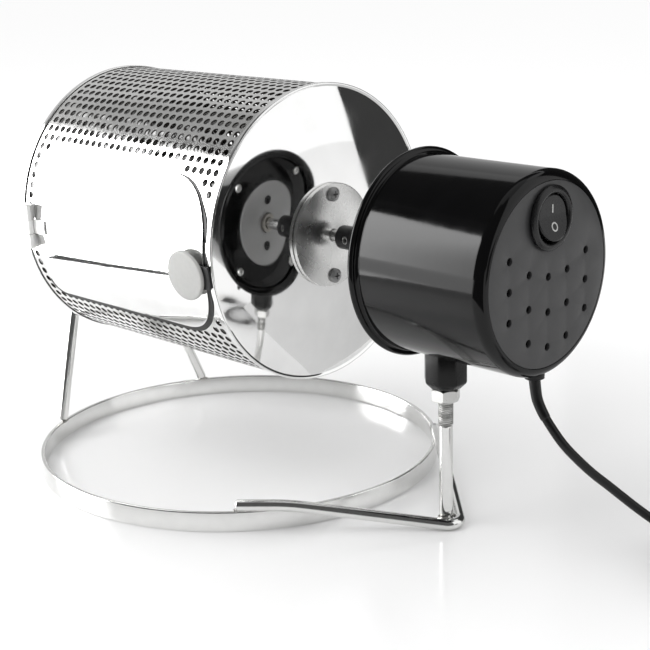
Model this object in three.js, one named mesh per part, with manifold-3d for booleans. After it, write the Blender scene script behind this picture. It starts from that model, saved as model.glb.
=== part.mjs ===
// Drum coffee roaster, in millimetres, +Z up, standing on Z = 0 with the drum's axis along X.
// The gearmotor pod is towards +X, the drum's door faces -Y.
import * as THREE from "three";
import { mergeVertices } from "three/addons/utils/BufferGeometryUtils.js";
import Module from "manifold-3d";

const wasm = await Module();
wasm.setup();

// Driving dimensions of the whole machine
const drum_diameter = 156;
const drum_length = 160;
const axis_height = 142;
const rod_diameter = 6;
const sheet = 0.8;
const clearance = 0.3;
const overrun = 5;

// Base hoop and rods
const ring_diameter = 228;
const ring_height = 11;
const ring_bar = 2.2;
const ring_centre_back = 72;
const far_foot_angle = THREE.MathUtils.degToRad(29);
const hairpin_half_width = 77;
const hairpin_level_end = 26;

// Post, nut and socket under the pod
const post_inset = 17;
const post_diameter = 7.1;
const thread_diameter = 8;
const thread_shown = 14;
const thread_engaged = 12;
const nut_across_flats = 13;
const nut_height = 6.3;
const socket_radius = 11.2;
const socket_drop = 18.5;
const socket_chamfer = 3.5;

// Openings of the mantle: a plain, coarse grid of slots that stands for the fine perforation
const slot_columns = 3;
const slot_width = 4.4;
const slot_share = 0.92;
const slot_end_margin = 4;
const slot_door_margin = 4;

// Drum ends, vanes and shafts
const cap_bead = 2.2;
const cap_bead_proud = 1.3;
const cap_dome = 5.5;
const vane_depth = 13;
const vane_thickness = 1.2;
const vane_end_space = 9;
const vane_angles_deg = [60, 180, 300];
const flange_diameter = 55;
const flange_thickness = 2.4;
const flange_screw_inset = 5.7;
const screw_diameter = 4;
const screw_head_diameter = 7.6;
const screw_head_height = 2;
const backing_inset = 0.5;
const backing_thickness = 1.5;
const screw_reach_inside = 4;
const axle_nut_across_flats = 10;
const axle_nut_height = 5;
const shaft_diameter = 6;
const shaft_inside = 7;
const shaft_engaged = 6;
const axle_proud = 1;

// Far bearing
const bearing_back = 34;
const bearing_length = 14;
const bearing_tube_diameter = 11.4;
const bearing_bush_diameter = 8.8;
const running_clearance = 0.3;

// Door, hinge and latch
const door_turn = THREE.MathUtils.degToRad(2);
const door_half_arc = 42;
const door_near_end = 4;
const door_far_margin = 12;
const door_near_corner = 30;
const door_far_corner = 8;
const door_overlap = 5;
const hinge_pin_diameter = 2;
const hinge_pin_length = 25;
const knuckle_diameter = 4.4;
const knuckle_length = 8;
const leaf_reach = 9;
const leaf_seat = 6.5;
const latch_turn = THREE.MathUtils.degToRad(5);
const latch_inset = 11;
const knob_diameter = 26;
const knob_thickness = 3.2;
const spindle_diameter = 5;
const tongue_length = 16.5;
const tongue_width = 12;
const tongue_thickness = 1.2;

// Coupling and gearmotor
const sleeve_start = 16;
const sleeve_length = 32;
const sleeve_diameter = 12.5;
const set_screw_diameter = 4;
const set_screw_inset = 7;
const output_shaft_diameter = 7;
const output_shaft_inset = 14;
const motor_diameter = 59.4;
const motor_wall = 1.2;
const face_flange_diameter = 66;
const face_flange = 1.5;
const gear_case_length = 17;
const motor_can_length = 27;
const gear_module = 0.5;
const wheel_teeth = 48;
const pinion_teeth = 12;
const gear_width = 3;
const idler_pin_diameter = 2;
const rotor_shaft_diameter = 3;
const rotor_diameter = 22;
const rotor_end_space = 2.5;
const gear_end_space = 2;
const addendum_share = 0.7;
const dedendum_share = 1.1;
const coil_inner_diameter = 28;
const bush_wall = 2.4;
const bush_proud = 3;
const gearmotor_screw_offset = 16;
const gearmotor_screw_head_height = 1.6;

// Pod
const pod_ahead = 69;
const pod_length = 79;
const pod_diameter = 98;
const lip_diameter = 104.6;
const lip_length = 7;
const lip_edge = 0.4;
const lip_wall = 1.2;
const lip_slope = 2;
const pod_wall = 2.5;
const pod_rear_round = 5;
const plate_recess = 4;
const plate_thickness = 2;
const ledge_depth = 5.5;
const ledge_length = 7;
const plate_screw_circle = 86;
const plate_screw_diameter = 3.2;
const plate_screw_head = 6.2;
const plate_screw_head_height = 1.8;
const plate_screw_head_edge = 0.8;
const rear_cover_thickness = 2.2;
const rear_ledge = 2.6;
const rear_ledge_depth = 3.3;

// Vents in the rear cover: an arc of columns, three rows
const vent_diameter = 3.7;
const vent_column_pitch = 14.5;
const vent_row_pitch = 16.8;
const vent_row_closing = 0.65;
const vent_top = -0.7;
const vent_arc_radius = 47;
const vent_fall = 0.08;
const vent_columns = [-2, -1, 0, 1, 2];
const vent_rows = [0, 1, 2];

// Rocker switch
const switch_rise = 27;
const bezel_diameter = 30.6;
const bezel_proud = 2.7;
const barrel_diameter = 25.4;
const barrel_length = 15;
const barrel_wall = 1.3;
const rocker_diameter = 21.6;
const rocker_depth = 6;
const rocker_proud = 3;
const rocker_foot_share = 0.6;
const rocker_waist_share = 0.2;
const bezel_slope = 0.6;
const bezel_recess = 0.8;
const rocker_tilt = THREE.MathUtils.degToRad(9);

// Mains lead
const cord_diameter = 4.5;
const cord_exit_inset = 7;
const relief_collar_diameter = 9.5;
const relief_collar = 3.4;
const relief_inside = 12;
const relief_taper = 6.2;
const relief_base_diameter = 6.8;
const coil_middle_radius = 26;
const coil_turns_per_layer = 2;
const coil_layers = 4;
const coil_pitch = 5;
const coil_lift = 1.1;
const tie_thickness = 0.8;
const tie_width = 9;
const plug_length = 35;
const plug_width = 26;
const plug_thickness = 13.7;
const plug_neck = 20;
const plug_neck_diameter = 8;
const pin_diameter = 4;
const pin_length = 19;
const pin_spacing = 19;
const pin_chamfer = 1;

// Facets
const hoop_sides = 64;
const drum_sides = 48;
const pod_sides = 36;
const face_sides = 28;
const corner_steps = 3;
const small_sides = 12;
const rod_sides = 8;
const bend_steps = 8;
const cord_sides = 6;
const coil_sides = 6;
const loop_steps = 24;
const dome_steps = 1;
const merge_distance = 1e-4;

// Worked out from the sizes above
const drum_radius = drum_diameter / 2;
const rod_radius = rod_diameter / 2;
const ring_radius = ring_diameter / 2;
const shaft_radius = shaft_diameter / 2;
const pod_radius = pod_diameter / 2;
const lip_radius = lip_diameter / 2;
const motor_radius = motor_diameter / 2;
const cap_face = cap_bead / 2 + cap_dome;
const flange_back = cap_face + clearance;
const flange_front = flange_back + flange_thickness;
const pod_rear = pod_ahead + pod_length;
const plate_front = pod_ahead + plate_recess;
const plate_back = plate_front + plate_thickness;
const cavity_radius = pod_radius - pod_wall;
const post_ahead = pod_ahead + post_inset;
const cord_exit_ahead = pod_rear - cord_exit_inset;
const door_far_end = drum_length - door_far_margin;
const latch_back = door_near_end + latch_inset;
const flange_screw_circle = flange_diameter - 2 * flange_screw_inset;
const shaft_ahead = sleeve_start + shaft_engaged;
const output_shaft_start = sleeve_start + output_shaft_inset;
const axle_behind = bearing_back + bearing_length / 2 + axle_proud;
const far_reach = drum_length + axle_behind;
const rocker_lift = rocker_proud * Math.cos(rocker_tilt) + (rocker_diameter / 2) * Math.sin(rocker_tilt);
const near_reach = pod_rear + clearance + rocker_lift;
const centre_x = (near_reach - far_reach) / 2;
const bearing_x = -(drum_length + bearing_back);
const gear_centres = (gear_module * (wheel_teeth + pinion_teeth)) / 2;

// Directions that stand a shape up: a profile or an outline is drawn in a plane and then turned
const x_axis = new THREE.Vector3(1, 0, 0);
const y_axis = new THREE.Vector3(0, 1, 0);
const z_axis = new THREE.Vector3(0, 0, 1);
const turn_onto_x = new THREE.Matrix4().makeBasis(z_axis, x_axis, y_axis);
const extrude_onto_x = new THREE.Matrix4().makeBasis(y_axis, z_axis, x_axis);
const extrude_towards_door = new THREE.Matrix4().makeRotationX(Math.PI / 2);

// Six times the volume inside a mesh, to tell whether its faces point out.
function signedVolume(geometry) {
  const place = geometry.attributes.position;
  const index = geometry.index.array;
  const [a, b, c] = [new THREE.Vector3(), new THREE.Vector3(), new THREE.Vector3()];
  let sum = 0;
  for (let i = 0; i < index.length; i += 3) {
    a.fromBufferAttribute(place, index[i]);
    b.fromBufferAttribute(place, index[i + 1]);
    c.fromBufferAttribute(place, index[i + 2]);
    sum += a.dot(b.cross(c));
  }
  return sum;
}

// One closed body: shared vertices merged, empty triangles dropped, faces out.
function closed(geometry) {
  const plain = geometry.index ? geometry.toNonIndexed() : geometry.clone();
  plain.deleteAttribute("normal");
  plain.deleteAttribute("uv");
  const merged = mergeVertices(plain, merge_distance);
  const old = merged.index.array;
  const kept = [];
  for (let i = 0; i < old.length; i += 3) {
    const [a, b, c] = [old[i], old[i + 1], old[i + 2]];
    if (a !== b && b !== c && c !== a) kept.push(a, b, c);
  }
  merged.setIndex(kept);
  if (signedVolume(merged) < 0) {
    for (let i = 0; i < kept.length; i += 3) [kept[i + 1], kept[i + 2]] = [kept[i + 2], kept[i + 1]];
    merged.setIndex(kept);
  }
  return merged;
}

function toSolid(geometry) {
  const body = closed(geometry);
  const mesh = new wasm.Mesh({
    numProp: 3,
    vertProperties: new Float32Array(body.attributes.position.array),
    triVerts: new Uint32Array(body.index.array),
  });
  return new wasm.Manifold(mesh);
}

function toGeometry(solid) {
  const mesh = solid.getMesh();
  const geometry = new THREE.BufferGeometry();
  geometry.setAttribute("position", new THREE.BufferAttribute(new Float32Array(mesh.vertProperties), 3));
  geometry.setIndex(new THREE.BufferAttribute(new Uint32Array(mesh.triVerts), 1));
  return geometry;
}

function join(first, ...others) {
  return toGeometry(others.reduce((whole, next) => whole.add(toSolid(next)), toSolid(first)));
}

function cut(body, ...cutters) {
  return toGeometry(cutters.reduce((left, cutter) => left.subtract(toSolid(cutter)), toSolid(body)));
}

function common(body, other) {
  return toGeometry(toSolid(body).intersect(toSolid(other)));
}

// A turned body about X from a profile of [along, radius] points, closed on itself or on the axis.
function turned(profile, sides = small_sides) {
  const points = profile.map(([along, radius]) => new THREE.Vector2(radius, along));
  const onAxis = profile[0][1] === 0 && profile[profile.length - 1][1] === 0;
  if (!onAxis) points.push(points[0].clone());
  return closed(new THREE.LatheGeometry(points, sides).applyMatrix4(turn_onto_x));
}

// The same about Z, from [height, radius] points.
function turnedUp(profile, sides = small_sides) {
  return turned(profile, sides).rotateY(-Math.PI / 2);
}

function plug(x0, x1, radius, sides = small_sides) {
  return turned([[x0, 0], [x0, radius], [x1, radius], [x1, 0]], sides);
}

function tube(x0, x1, inner, outer, sides = small_sides) {
  return turned([[x0, inner], [x0, outer], [x1, outer], [x1, inner]], sides);
}

// An outline in the (Y, Z) plane, extruded along X.
function slabX(shape, x0, x1) {
  const settings = { depth: x1 - x0, bevelEnabled: false, curveSegments: small_sides };
  const flat = new THREE.ExtrudeGeometry(shape, settings);
  return closed(flat.applyMatrix4(extrude_onto_x).translate(x0, 0, 0));
}

function box(x0, x1, y0, y1, z0, z1) {
  const block = new THREE.BoxGeometry(x1 - x0, y1 - y0, z1 - z0);
  return closed(block.translate((x0 + x1) / 2, (y0 + y1) / 2, (z0 + z1) / 2));
}

// A route through points, one step between each two, that ExtrudeGeometry can follow.
class Route extends THREE.Curve {
  constructor(points) {
    super();
    this.points = points;
  }
  getPoint(t, target = new THREE.Vector3()) {
    const place = t * (this.points.length - 1);
    const i = Math.min(Math.floor(place), this.points.length - 2);
    return target.lerpVectors(this.points[i], this.points[i + 1], place - i);
  }
  getPointAt(t, target) {
    return this.getPoint(t, target);
  }
  getTangent(t, target = new THREE.Vector3()) {
    const place = Math.round(t * (this.points.length - 1));
    const here = this.points[place];
    const before = this.points[Math.max(place - 1, 0)];
    const after = this.points[Math.min(place + 1, this.points.length - 1)];
    const inwards = here.clone().sub(before).normalize();
    const onwards = after.clone().sub(here).normalize();
    return target.copy(inwards.add(onwards)).normalize();
  }
  getTangentAt(t, target) {
    return this.getTangent(t, target);
  }
}

// A round section with flats of the given count, as an outline.
function roundSection(radius, sides) {
  const corners = [];
  for (let i = 0; i < sides; i += 1) {
    const a = ((i + 0.5) / sides) * 2 * Math.PI;
    corners.push(new THREE.Vector2(radius * Math.cos(a), radius * Math.sin(a)));
  }
  return new THREE.Shape(corners);
}

function tubeAlong(points, radius, sides = rod_sides) {
  const settings = { steps: points.length - 1, extrudePath: new Route(points), bevelEnabled: false };
  return closed(new THREE.ExtrudeGeometry(roundSection(radius, sides), settings));
}

// Points of a rod that is bent round a circle of the given centre in a plane of two unit directions:
// straight from the start, round the far side of the circle, straight to the mirrored end.
function bentRoundPin(centre, radius, across, away, end_across, end_back, lift) {
  const distance = Math.hypot(end_across, end_back);
  const lean = Math.atan2(end_across, end_back);
  const wrap = Math.acos(radius / distance);
  const first = Math.PI - lean - wrap;
  const place = (side, angle) =>
    centre.clone().addScaledVector(across, side * radius * Math.sin(angle))
      .addScaledVector(away, radius * Math.cos(angle));
  const foot = (side) =>
    centre.clone().addScaledVector(across, side * end_across).addScaledVector(away, -end_back).add(lift);
  const points = [foot(-1)];
  for (let i = -bend_steps; i <= bend_steps; i += 1) {
    const share = i / bend_steps;
    points.push(place(Math.sign(share) || 1, Math.abs(share) * first));
  }
  points.push(foot(1));
  return points;
}

function hexagon(across_flats) {
  return roundSection(across_flats / Math.sqrt(3), 6);
}

const finishes = {
  polished_steel: { color: 0xe4e4e2, metalness: 1, roughness: 0.12 },
  bright_steel: { color: 0xcfcfcd, metalness: 1, roughness: 0.25 },
  zinc: { color: 0xc8c8c4, metalness: 1, roughness: 0.4 },
  dark_steel: { color: 0x1c1c1d, metalness: 0.6, roughness: 0.35 },
  gloss_black: { color: 0x0c0c0d, metalness: 0, roughness: 0.12 },
  satin_black: { color: 0x474746, metalness: 0, roughness: 0.5 },
  grey_zinc: { color: 0x8e8e8b, metalness: 0.8, roughness: 0.45 },
  bronze: { color: 0xb08a52, metalness: 1, roughness: 0.35 },
  copper: { color: 0xb56a3a, metalness: 1, roughness: 0.4 },
  nylon: { color: 0xe9e6da, metalness: 0, roughness: 0.5 },
  black_pvc: { color: 0x121213, metalness: 0, roughness: 0.55 },
};

function piece(name, geometry, finish) {
  const material = new THREE.MeshStandardMaterial(finishes[finish]);
  const mesh = new THREE.Mesh(closed(geometry), material);
  mesh.name = name;
  return mesh;
}

// Base: the hoop, the hairpin rod out to the post and the post itself.
// Places are measured along X from the drum's motor end, and up from the table.
const hoop_top = ring_height + clearance;
const crook_radius = post_diameter / 2 + clearance + rod_radius;
const hairpin_end_lift = hoop_top + rod_radius;

function baseRing() {
  const hoop = [[0, ring_radius - ring_bar / 2], [0, ring_radius + ring_bar / 2]];
  hoop.push([ring_height, ring_radius + ring_bar / 2], [ring_height, ring_radius - ring_bar / 2]);
  return turnedUp(hoop, hoop_sides).translate(-ring_centre_back, 0, 0);
}

function hairpin() {
  const hoop_reach = Math.sqrt(ring_radius ** 2 - hairpin_half_width ** 2) - ring_centre_back;
  const centre = new THREE.Vector3(post_ahead, 0, rod_radius);
  const lift = new THREE.Vector3(0, 0, hairpin_end_lift - rod_radius);
  const back = post_ahead - hoop_reach;
  const points = bentRoundPin(centre, crook_radius, y_axis, x_axis, hairpin_half_width, back, lift);
  const knee = (foot, bend) => {
    const flat = bend.clone().setZ(foot.z);
    return foot.clone().addScaledVector(flat.sub(foot).normalize(), hairpin_level_end);
  };
  points.splice(1, 0, knee(points[0], points[1]));
  const last = points.length - 1;
  points.splice(last, 0, knee(points[last], points[last - 1]));
  return tubeAlong(points, rod_radius);
}

const socket_bottom = axis_height - pod_radius - socket_drop;
const nut_top = socket_bottom - clearance;
const nut_bottom = nut_top - nut_height;
const thread_bottom = nut_bottom - thread_shown;
const thread_top = socket_bottom + thread_engaged;

function post() {
  const rod = post_diameter / 2;
  const thread = thread_diameter / 2;
  const profile = [[clearance, 0], [clearance, rod], [thread_bottom, rod], [thread_bottom, thread]];
  profile.push([thread_top, thread], [thread_top, 0]);
  return turnedUp(profile, small_sides).translate(post_ahead, 0, 0);
}

function lockNut() {
  const hex = new THREE.ExtrudeGeometry(hexagon(nut_across_flats), { depth: nut_height, bevelEnabled: false });
  const bore = turnedUp([[-overrun, 0], [-overrun, thread_diameter / 2 + clearance],
    [nut_height + overrun, thread_diameter / 2 + clearance], [nut_height + overrun, 0]]);
  return cut(hex, bore).translate(post_ahead, 0, nut_bottom);
}

function socket() {
  const top = axis_height - pod_radius + overrun;
  const profile = [[socket_bottom, 0], [socket_bottom, socket_radius - socket_chamfer]];
  profile.push([socket_bottom + socket_chamfer, socket_radius], [top, socket_radius], [top, 0]);
  const body = turnedUp(profile, 8).rotateZ(Math.PI / 8).translate(post_ahead, 0, 0);
  const bore_radius = thread_diameter / 2 + clearance;
  const bore_top = thread_top + clearance;
  const bore = turnedUp([[socket_bottom - overrun, 0], [socket_bottom - overrun, bore_radius],
    [bore_top, bore_radius], [bore_top, 0]]).translate(post_ahead, 0, 0);
  const reach = 2 * socket_radius;
  const pod = plug(post_ahead - reach, post_ahead + reach, pod_radius + clearance, pod_sides);
  return cut(body, bore, pod.translate(0, 0, axis_height));
}

// Far support: a rod bent over the bearing tube, its feet on the hoop.
const bearing_radius = bearing_tube_diameter / 2;

function farSupport() {
  const foot_rise = hoop_top + rod_radius * Math.sin(far_foot_angle);
  const foot_x = -ring_centre_back - ring_radius * Math.cos(far_foot_angle);
  const foot_y = ring_radius * Math.sin(far_foot_angle);
  const centre = new THREE.Vector3(bearing_x, 0, axis_height);
  const lift = new THREE.Vector3(foot_x - bearing_x, 0, 0);
  const wrap = bearing_radius + clearance + rod_radius;
  const points = bentRoundPin(centre, wrap, y_axis, z_axis, foot_y, axis_height - foot_rise, lift);
  return tubeAlong(points, rod_radius);
}

function bearingTube() {
  const x0 = bearing_x - bearing_length / 2;
  const inner = bearing_bush_diameter / 2 + clearance;
  return tube(x0, x0 + bearing_length, inner, bearing_radius).translate(0, 0, axis_height);
}

function bearingBush() {
  const x0 = bearing_x - bearing_length / 2;
  const inner = shaft_radius + running_clearance;
  return tube(x0, x0 + bearing_length, inner, bearing_bush_diameter / 2).translate(0, 0, axis_height);
}

// Drum, about its own axis, with X from its motor end.
function doorOutline(inset) {
  const half = door_half_arc - inset;
  const near = -door_near_end - inset;
  const far = -door_far_end + inset;
  const near_corner = door_near_corner - inset;
  const far_corner = Math.max(door_far_corner - inset, clearance);
  const corners = [
    [near - near_corner, half - near_corner, near_corner, 0],
    [far + far_corner, half - far_corner, far_corner, 1],
    [far + far_corner, far_corner - half, far_corner, 2],
    [near - near_corner, near_corner - half, near_corner, 3],
  ];
  const outline = [];
  for (const [x, arc, radius, quarter] of corners) {
    for (let i = 0; i <= bend_steps; i += 1) {
      const a = ((quarter + i / bend_steps) * Math.PI) / 2;
      const along_arc = arc + radius * Math.sin(a);
      const across = drum_radius * Math.sin(along_arc / drum_radius);
      outline.push(new THREE.Vector2(x + radius * Math.cos(a), across));
    }
  }
  return new THREE.Shape(outline);
}

function doorCutter(inset) {
  const depth = drum_radius + overrun;
  const block = new THREE.ExtrudeGeometry(doorOutline(inset), { depth, bevelEnabled: false });
  return closed(block.applyMatrix4(extrude_towards_door));
}

// One slot lies in the middle of each flat of the mantle, clear of the door.
function mantleSlots() {
  const pitch = (drum_length - 2 * slot_end_margin) / slot_columns;
  const half_long = (pitch * slot_share) / 2;
  const door_half_angle = (door_half_arc + slot_width / 2 + slot_door_margin) / drum_radius;
  const slots = [];
  for (let i = 0; i < drum_sides; i += 1) {
    const angle = ((i + 0.5) / drum_sides) * 2 * Math.PI - Math.PI;
    if (Math.abs(angle - door_turn) < door_half_angle) continue;
    for (let column = 0; column < slot_columns; column += 1) {
      const x = -slot_end_margin - (column + 0.5) * pitch;
      const hole = box(x - half_long, x + half_long, -drum_radius - overrun, -drum_radius + overrun,
        -slot_width / 2, slot_width / 2);
      slots.push(hole.rotateX(angle));
    }
  }
  return slots;
}

function mantle() {
  const shell = tube(-drum_length, 0, drum_radius - sheet, drum_radius, drum_sides);
  return cut(shell, doorCutter(door_overlap).rotateX(door_turn), ...mantleSlots());
}

// A polished end: a bead over the sheet's edge and a shallow dome, with holes for shaft and any screws.
function drumCap(screw_places) {
  const bead_out = drum_radius + cap_bead_proud;
  const seat = drum_radius + clearance;
  const flat = flange_diameter / 2;
  const dome_edge = drum_radius - sheet - clearance;
  const rise = (radius) => {
    const share = Math.max(radius - flat, 0) / (dome_edge - flat);
    return cap_face - cap_dome * share * share;
  };
  const outer = [];
  for (let i = 0; i <= dome_steps; i += 1) {
    const radius = flat + ((dome_edge - flat) * i) / dome_steps;
    outer.push([rise(radius), radius]);
  }
  const bore = shaft_radius + clearance;
  const profile = [[cap_face, bore], ...outer, [cap_bead, bead_out - cap_bead_proud / 2], [cap_bead, bead_out]];
  profile.push([-cap_bead / 2, bead_out], [-cap_bead / 2, seat], [clearance, seat], [clearance, dome_edge]);
  for (const [along, radius] of outer.slice(0, -1).reverse()) profile.push([along - sheet, radius]);
  profile.push([cap_face - sheet, bore]);
  const body = turned(profile, drum_sides);
  const holes = screw_places.map((z) =>
    plug(-overrun, cap_face + overrun, screw_diameter / 2 + clearance).translate(0, 0, z));
  return cut(body, ...holes);
}

function mixingVane(angle_deg) {
  const outer = drum_radius - sheet - clearance;
  const vane = box(-drum_length + vane_end_space, -vane_end_space, -outer, vane_depth - outer,
    -vane_thickness / 2, vane_thickness / 2);
  return vane.rotateX(THREE.MathUtils.degToRad(-angle_deg));
}

const flange_screw_places = [flange_screw_circle / 2, -flange_screw_circle / 2];

function driveFlange() {
  const disc = tube(flange_back, flange_front, shaft_radius + clearance, flange_diameter / 2, face_sides);
  const holes = flange_screw_places.map((z) =>
    plug(flange_back - overrun, flange_front + overrun, screw_diameter / 2 + clearance).translate(0, 0, z));
  return cut(disc, ...holes);
}

function flangeBacking() {
  const front = cap_face - sheet - clearance;
  const disc = tube(front - backing_thickness, front, shaft_radius + clearance,
    flange_diameter / 2 - backing_inset, face_sides);
  const holes = flange_screw_places.map((z) =>
    plug(front - overrun, front + overrun, screw_diameter / 2 + clearance).translate(0, 0, z));
  return cut(disc, ...holes);
}

const inside_face = cap_face - sheet - clearance;

function flangeScrew(z) {
  const head = flange_front + clearance;
  const tip = inside_face - screw_reach_inside;
  const profile = [[tip, 0], [tip, screw_diameter / 2], [head, screw_diameter / 2]];
  profile.push([head, screw_head_diameter / 2], [head + screw_head_height / 2, screw_head_diameter / 2]);
  profile.push([head + screw_head_height, screw_head_diameter / 4], [head + screw_head_height, 0]);
  return turned(profile, rod_sides).translate(0, 0, z);
}

function driveShaft() {
  return plug(inside_face - shaft_inside, shaft_ahead, shaft_radius);
}

// The far end's fittings are drawn as at the motor end, then turned round.
function farEnd(geometry) {
  return closed(geometry.rotateY(Math.PI).translate(-drum_length, 0, 0));
}

function farAxle() {
  const start = inside_face - shaft_inside;
  const profile = [[start, 0], [start, shaft_radius], [flange_back, shaft_radius]];
  profile.push([flange_back, flange_diameter / 2], [flange_front, flange_diameter / 2]);
  profile.push([flange_front, shaft_radius], [axle_behind, shaft_radius], [axle_behind, 0]);
  return turned(profile, face_sides);
}

function farAxleNut() {
  const back = inside_face - axle_nut_height;
  const hex = slabX(hexagon(axle_nut_across_flats), back, inside_face);
  return cut(hex, plug(back - overrun, inside_face + overrun, shaft_radius + clearance));
}

// Door, its hinge and its latch, in the door's own turned frame: the door faces -Y.
const door_inner = drum_radius + clearance;
const door_outer = door_inner + sheet;
const hinge_x = -door_far_end - knuckle_diameter / 2 + clearance;
const hinge_out = door_outer + clearance + knuckle_diameter / 2 + clearance;

function door() {
  const shell = tube(-door_far_end - overrun, -door_near_end + overrun, door_inner, door_outer, drum_sides);
  const panel = common(shell, doorCutter(0));
  const hole = turnedUp([[0, 0], [0, spindle_diameter / 2 + clearance],
    [door_outer + overrun, spindle_diameter / 2 + clearance], [door_outer + overrun, 0]]);
  return cut(panel, radial(hole));
}

// Turns a shape that stands on +Z so that it points out of the drum at the latch.
function radial(geometry) {
  return geometry.rotateX(Math.PI / 2).rotateX(latch_turn).translate(-latch_back, 0, 0);
}

function knuckle(z0, length) {
  const outer = knuckle_diameter / 2;
  const bore = hinge_pin_diameter / 2 + clearance;
  return turnedUp([[z0, bore], [z0, outer], [z0 + length, outer], [z0 + length, bore]], rod_sides)
    .translate(hinge_x, -hinge_out, 0);
}

function pinBore() {
  const bore = hinge_pin_diameter / 2 + clearance;
  const half = hinge_pin_length;
  return turnedUp([[-half, 0], [-half, bore], [half, bore], [half, 0]], rod_sides)
    .translate(hinge_x, -hinge_out, 0);
}

function doorLeaf() {
  const inner = door_outer + clearance;
  const leaf = common(
    tube(hinge_x + clearance, hinge_x + knuckle_diameter / 2 + leaf_reach, inner, inner + sheet, drum_sides),
    box(hinge_x - overrun, 0, -drum_radius - overrun, 0, -knuckle_length / 2, knuckle_length / 2),
  );
  const joined = join(leaf, knuckle(-knuckle_length / 2, knuckle_length));
  return cut(joined, pinBore());
}

function drumLeaf() {
  const inner = drum_radius + clearance;
  const half = 1.5 * knuckle_length + clearance;
  const foot = common(
    tube(hinge_x - leaf_seat, hinge_x + clearance, inner, hinge_out, drum_sides),
    box(hinge_x - leaf_seat - overrun, hinge_x + overrun, -hinge_out - overrun, 0, -half, half),
  );
  const space = box(hinge_x - knuckle_diameter / 2 - clearance, hinge_x + overrun, -hinge_out - overrun, 0,
    -knuckle_length / 2 - clearance, knuckle_length / 2 + clearance);
  const slope = box(hinge_x - leaf_seat - overrun, hinge_x - knuckle_diameter / 2, -hinge_out - overrun,
    -inner - sheet, -half - overrun, half + overrun);
  const ends = [-half, knuckle_length / 2 + clearance].map((z) => knuckle(z, knuckle_length));
  return cut(join(cut(foot, space, slope), ...ends), pinBore());
}

function hingePin() {
  const half = hinge_pin_length / 2;
  const pin = turnedUp([[-half, 0], [-half, hinge_pin_diameter / 2], [half, hinge_pin_diameter / 2], [half, 0]],
    rod_sides);
  return pin.translate(hinge_x, -hinge_out, 0);
}

const tongue_base = door_outer + clearance;
const knob_base = tongue_base + tongue_thickness;

function latchKnob() {
  const edge = knob_thickness / 3;
  const r = knob_diameter / 2;
  const profile = [[knob_base, 0], [knob_base, r], [knob_base + knob_thickness - edge, r]];
  profile.push([knob_base + knob_thickness, r - edge], [knob_base + knob_thickness, 0]);
  const spindle_end = drum_radius - 2 * sheet;
  const stem = [[spindle_end, 0], [spindle_end, spindle_diameter / 2], [knob_base + edge, spindle_diameter / 2]];
  stem.push([knob_base + edge, 0]);
  return radial(join(turnedUp(profile, face_sides), turnedUp(stem)));
}

// A bar with a round eye on the spindle, reaching over the door's edge towards the drum's end.
function latchTongue() {
  const bar = box(0, tongue_length, -tongue_width / 2, tongue_width / 2, tongue_base, knob_base - clearance / 3);
  const eye = turnedUp([[tongue_base, 0], [tongue_base, tongue_width / 2],
    [knob_base - clearance / 3, tongue_width / 2], [knob_base - clearance / 3, 0]]);
  const r = spindle_diameter / 2 + clearance;
  const hole = turnedUp([[0, 0], [0, r], [knob_base + overrun, r], [knob_base + overrun, 0]]);
  return radial(cut(join(bar, eye), hole));
}

// Coupling and the gearmotor's turning parts, about the axis.
const sleeve_end = sleeve_start + sleeve_length;

const set_screws = [[sleeve_start + set_screw_inset, shaft_radius],
  [sleeve_end - set_screw_inset, output_shaft_diameter / 2]];

function couplingSleeve() {
  const body = plug(sleeve_start, sleeve_end, sleeve_diameter / 2);
  const small = plug(sleeve_start - overrun, output_shaft_start, shaft_radius + clearance);
  const large = plug(output_shaft_start - clearance, sleeve_end + overrun, output_shaft_diameter / 2 + clearance);
  const holes = set_screws.map(([x]) =>
    turnedUp([[0, 0], [0, set_screw_diameter / 2 + clearance],
      [sleeve_diameter, set_screw_diameter / 2 + clearance], [sleeve_diameter, 0]], rod_sides)
      .rotateX(Math.PI / 2).translate(x, 0, 0));
  return cut(body, small, large, ...holes);
}

function setScrew([x, shaft_below]) {
  const [low, high] = [shaft_below + clearance, sleeve_diameter / 2 - clearance];
  const profile = [[low, 0], [low, set_screw_diameter / 2], [high, set_screw_diameter / 2], [high, 0]];
  return turnedUp(profile, rod_sides).rotateX(Math.PI / 2).translate(x, 0, 0);
}

const case_front = plate_back + clearance + face_flange + clearance;
const case_back = case_front + gear_case_length;
const output_gear_x = case_front + gear_end_space;
const wheel_x = output_gear_x + 2 * gear_width;
const output_end = output_gear_x + gear_width + clearance;
const rotor_shaft_start = output_end + 2 * clearance;

function gearOutline(teeth, phase_share) {
  const pitch_radius = (gear_module * teeth) / 2;
  const tip = pitch_radius + addendum_share * gear_module;
  const root = pitch_radius - dedendum_share * gear_module;
  const root_half_share = 0.3;
  const corners = [];
  for (let i = 0; i < teeth; i += 1) {
    for (const [radius, share] of [[root, -root_half_share], [tip, 0], [root, root_half_share]]) {
      const a = ((i + phase_share + share) / teeth) * 2 * Math.PI;
      corners.push(new THREE.Vector2(radius * Math.cos(a), radius * Math.sin(a)));
    }
  }
  return new THREE.Shape(corners);
}

function gear(teeth, phase_share, x0, width, bore_radius) {
  const wheel = slabX(gearOutline(teeth, phase_share), x0, x0 + width);
  return cut(wheel, plug(x0 - overrun, x0 + width + overrun, bore_radius));
}

function outputShaft() {
  return plug(output_shaft_start, output_end, output_shaft_diameter / 2);
}

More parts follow.
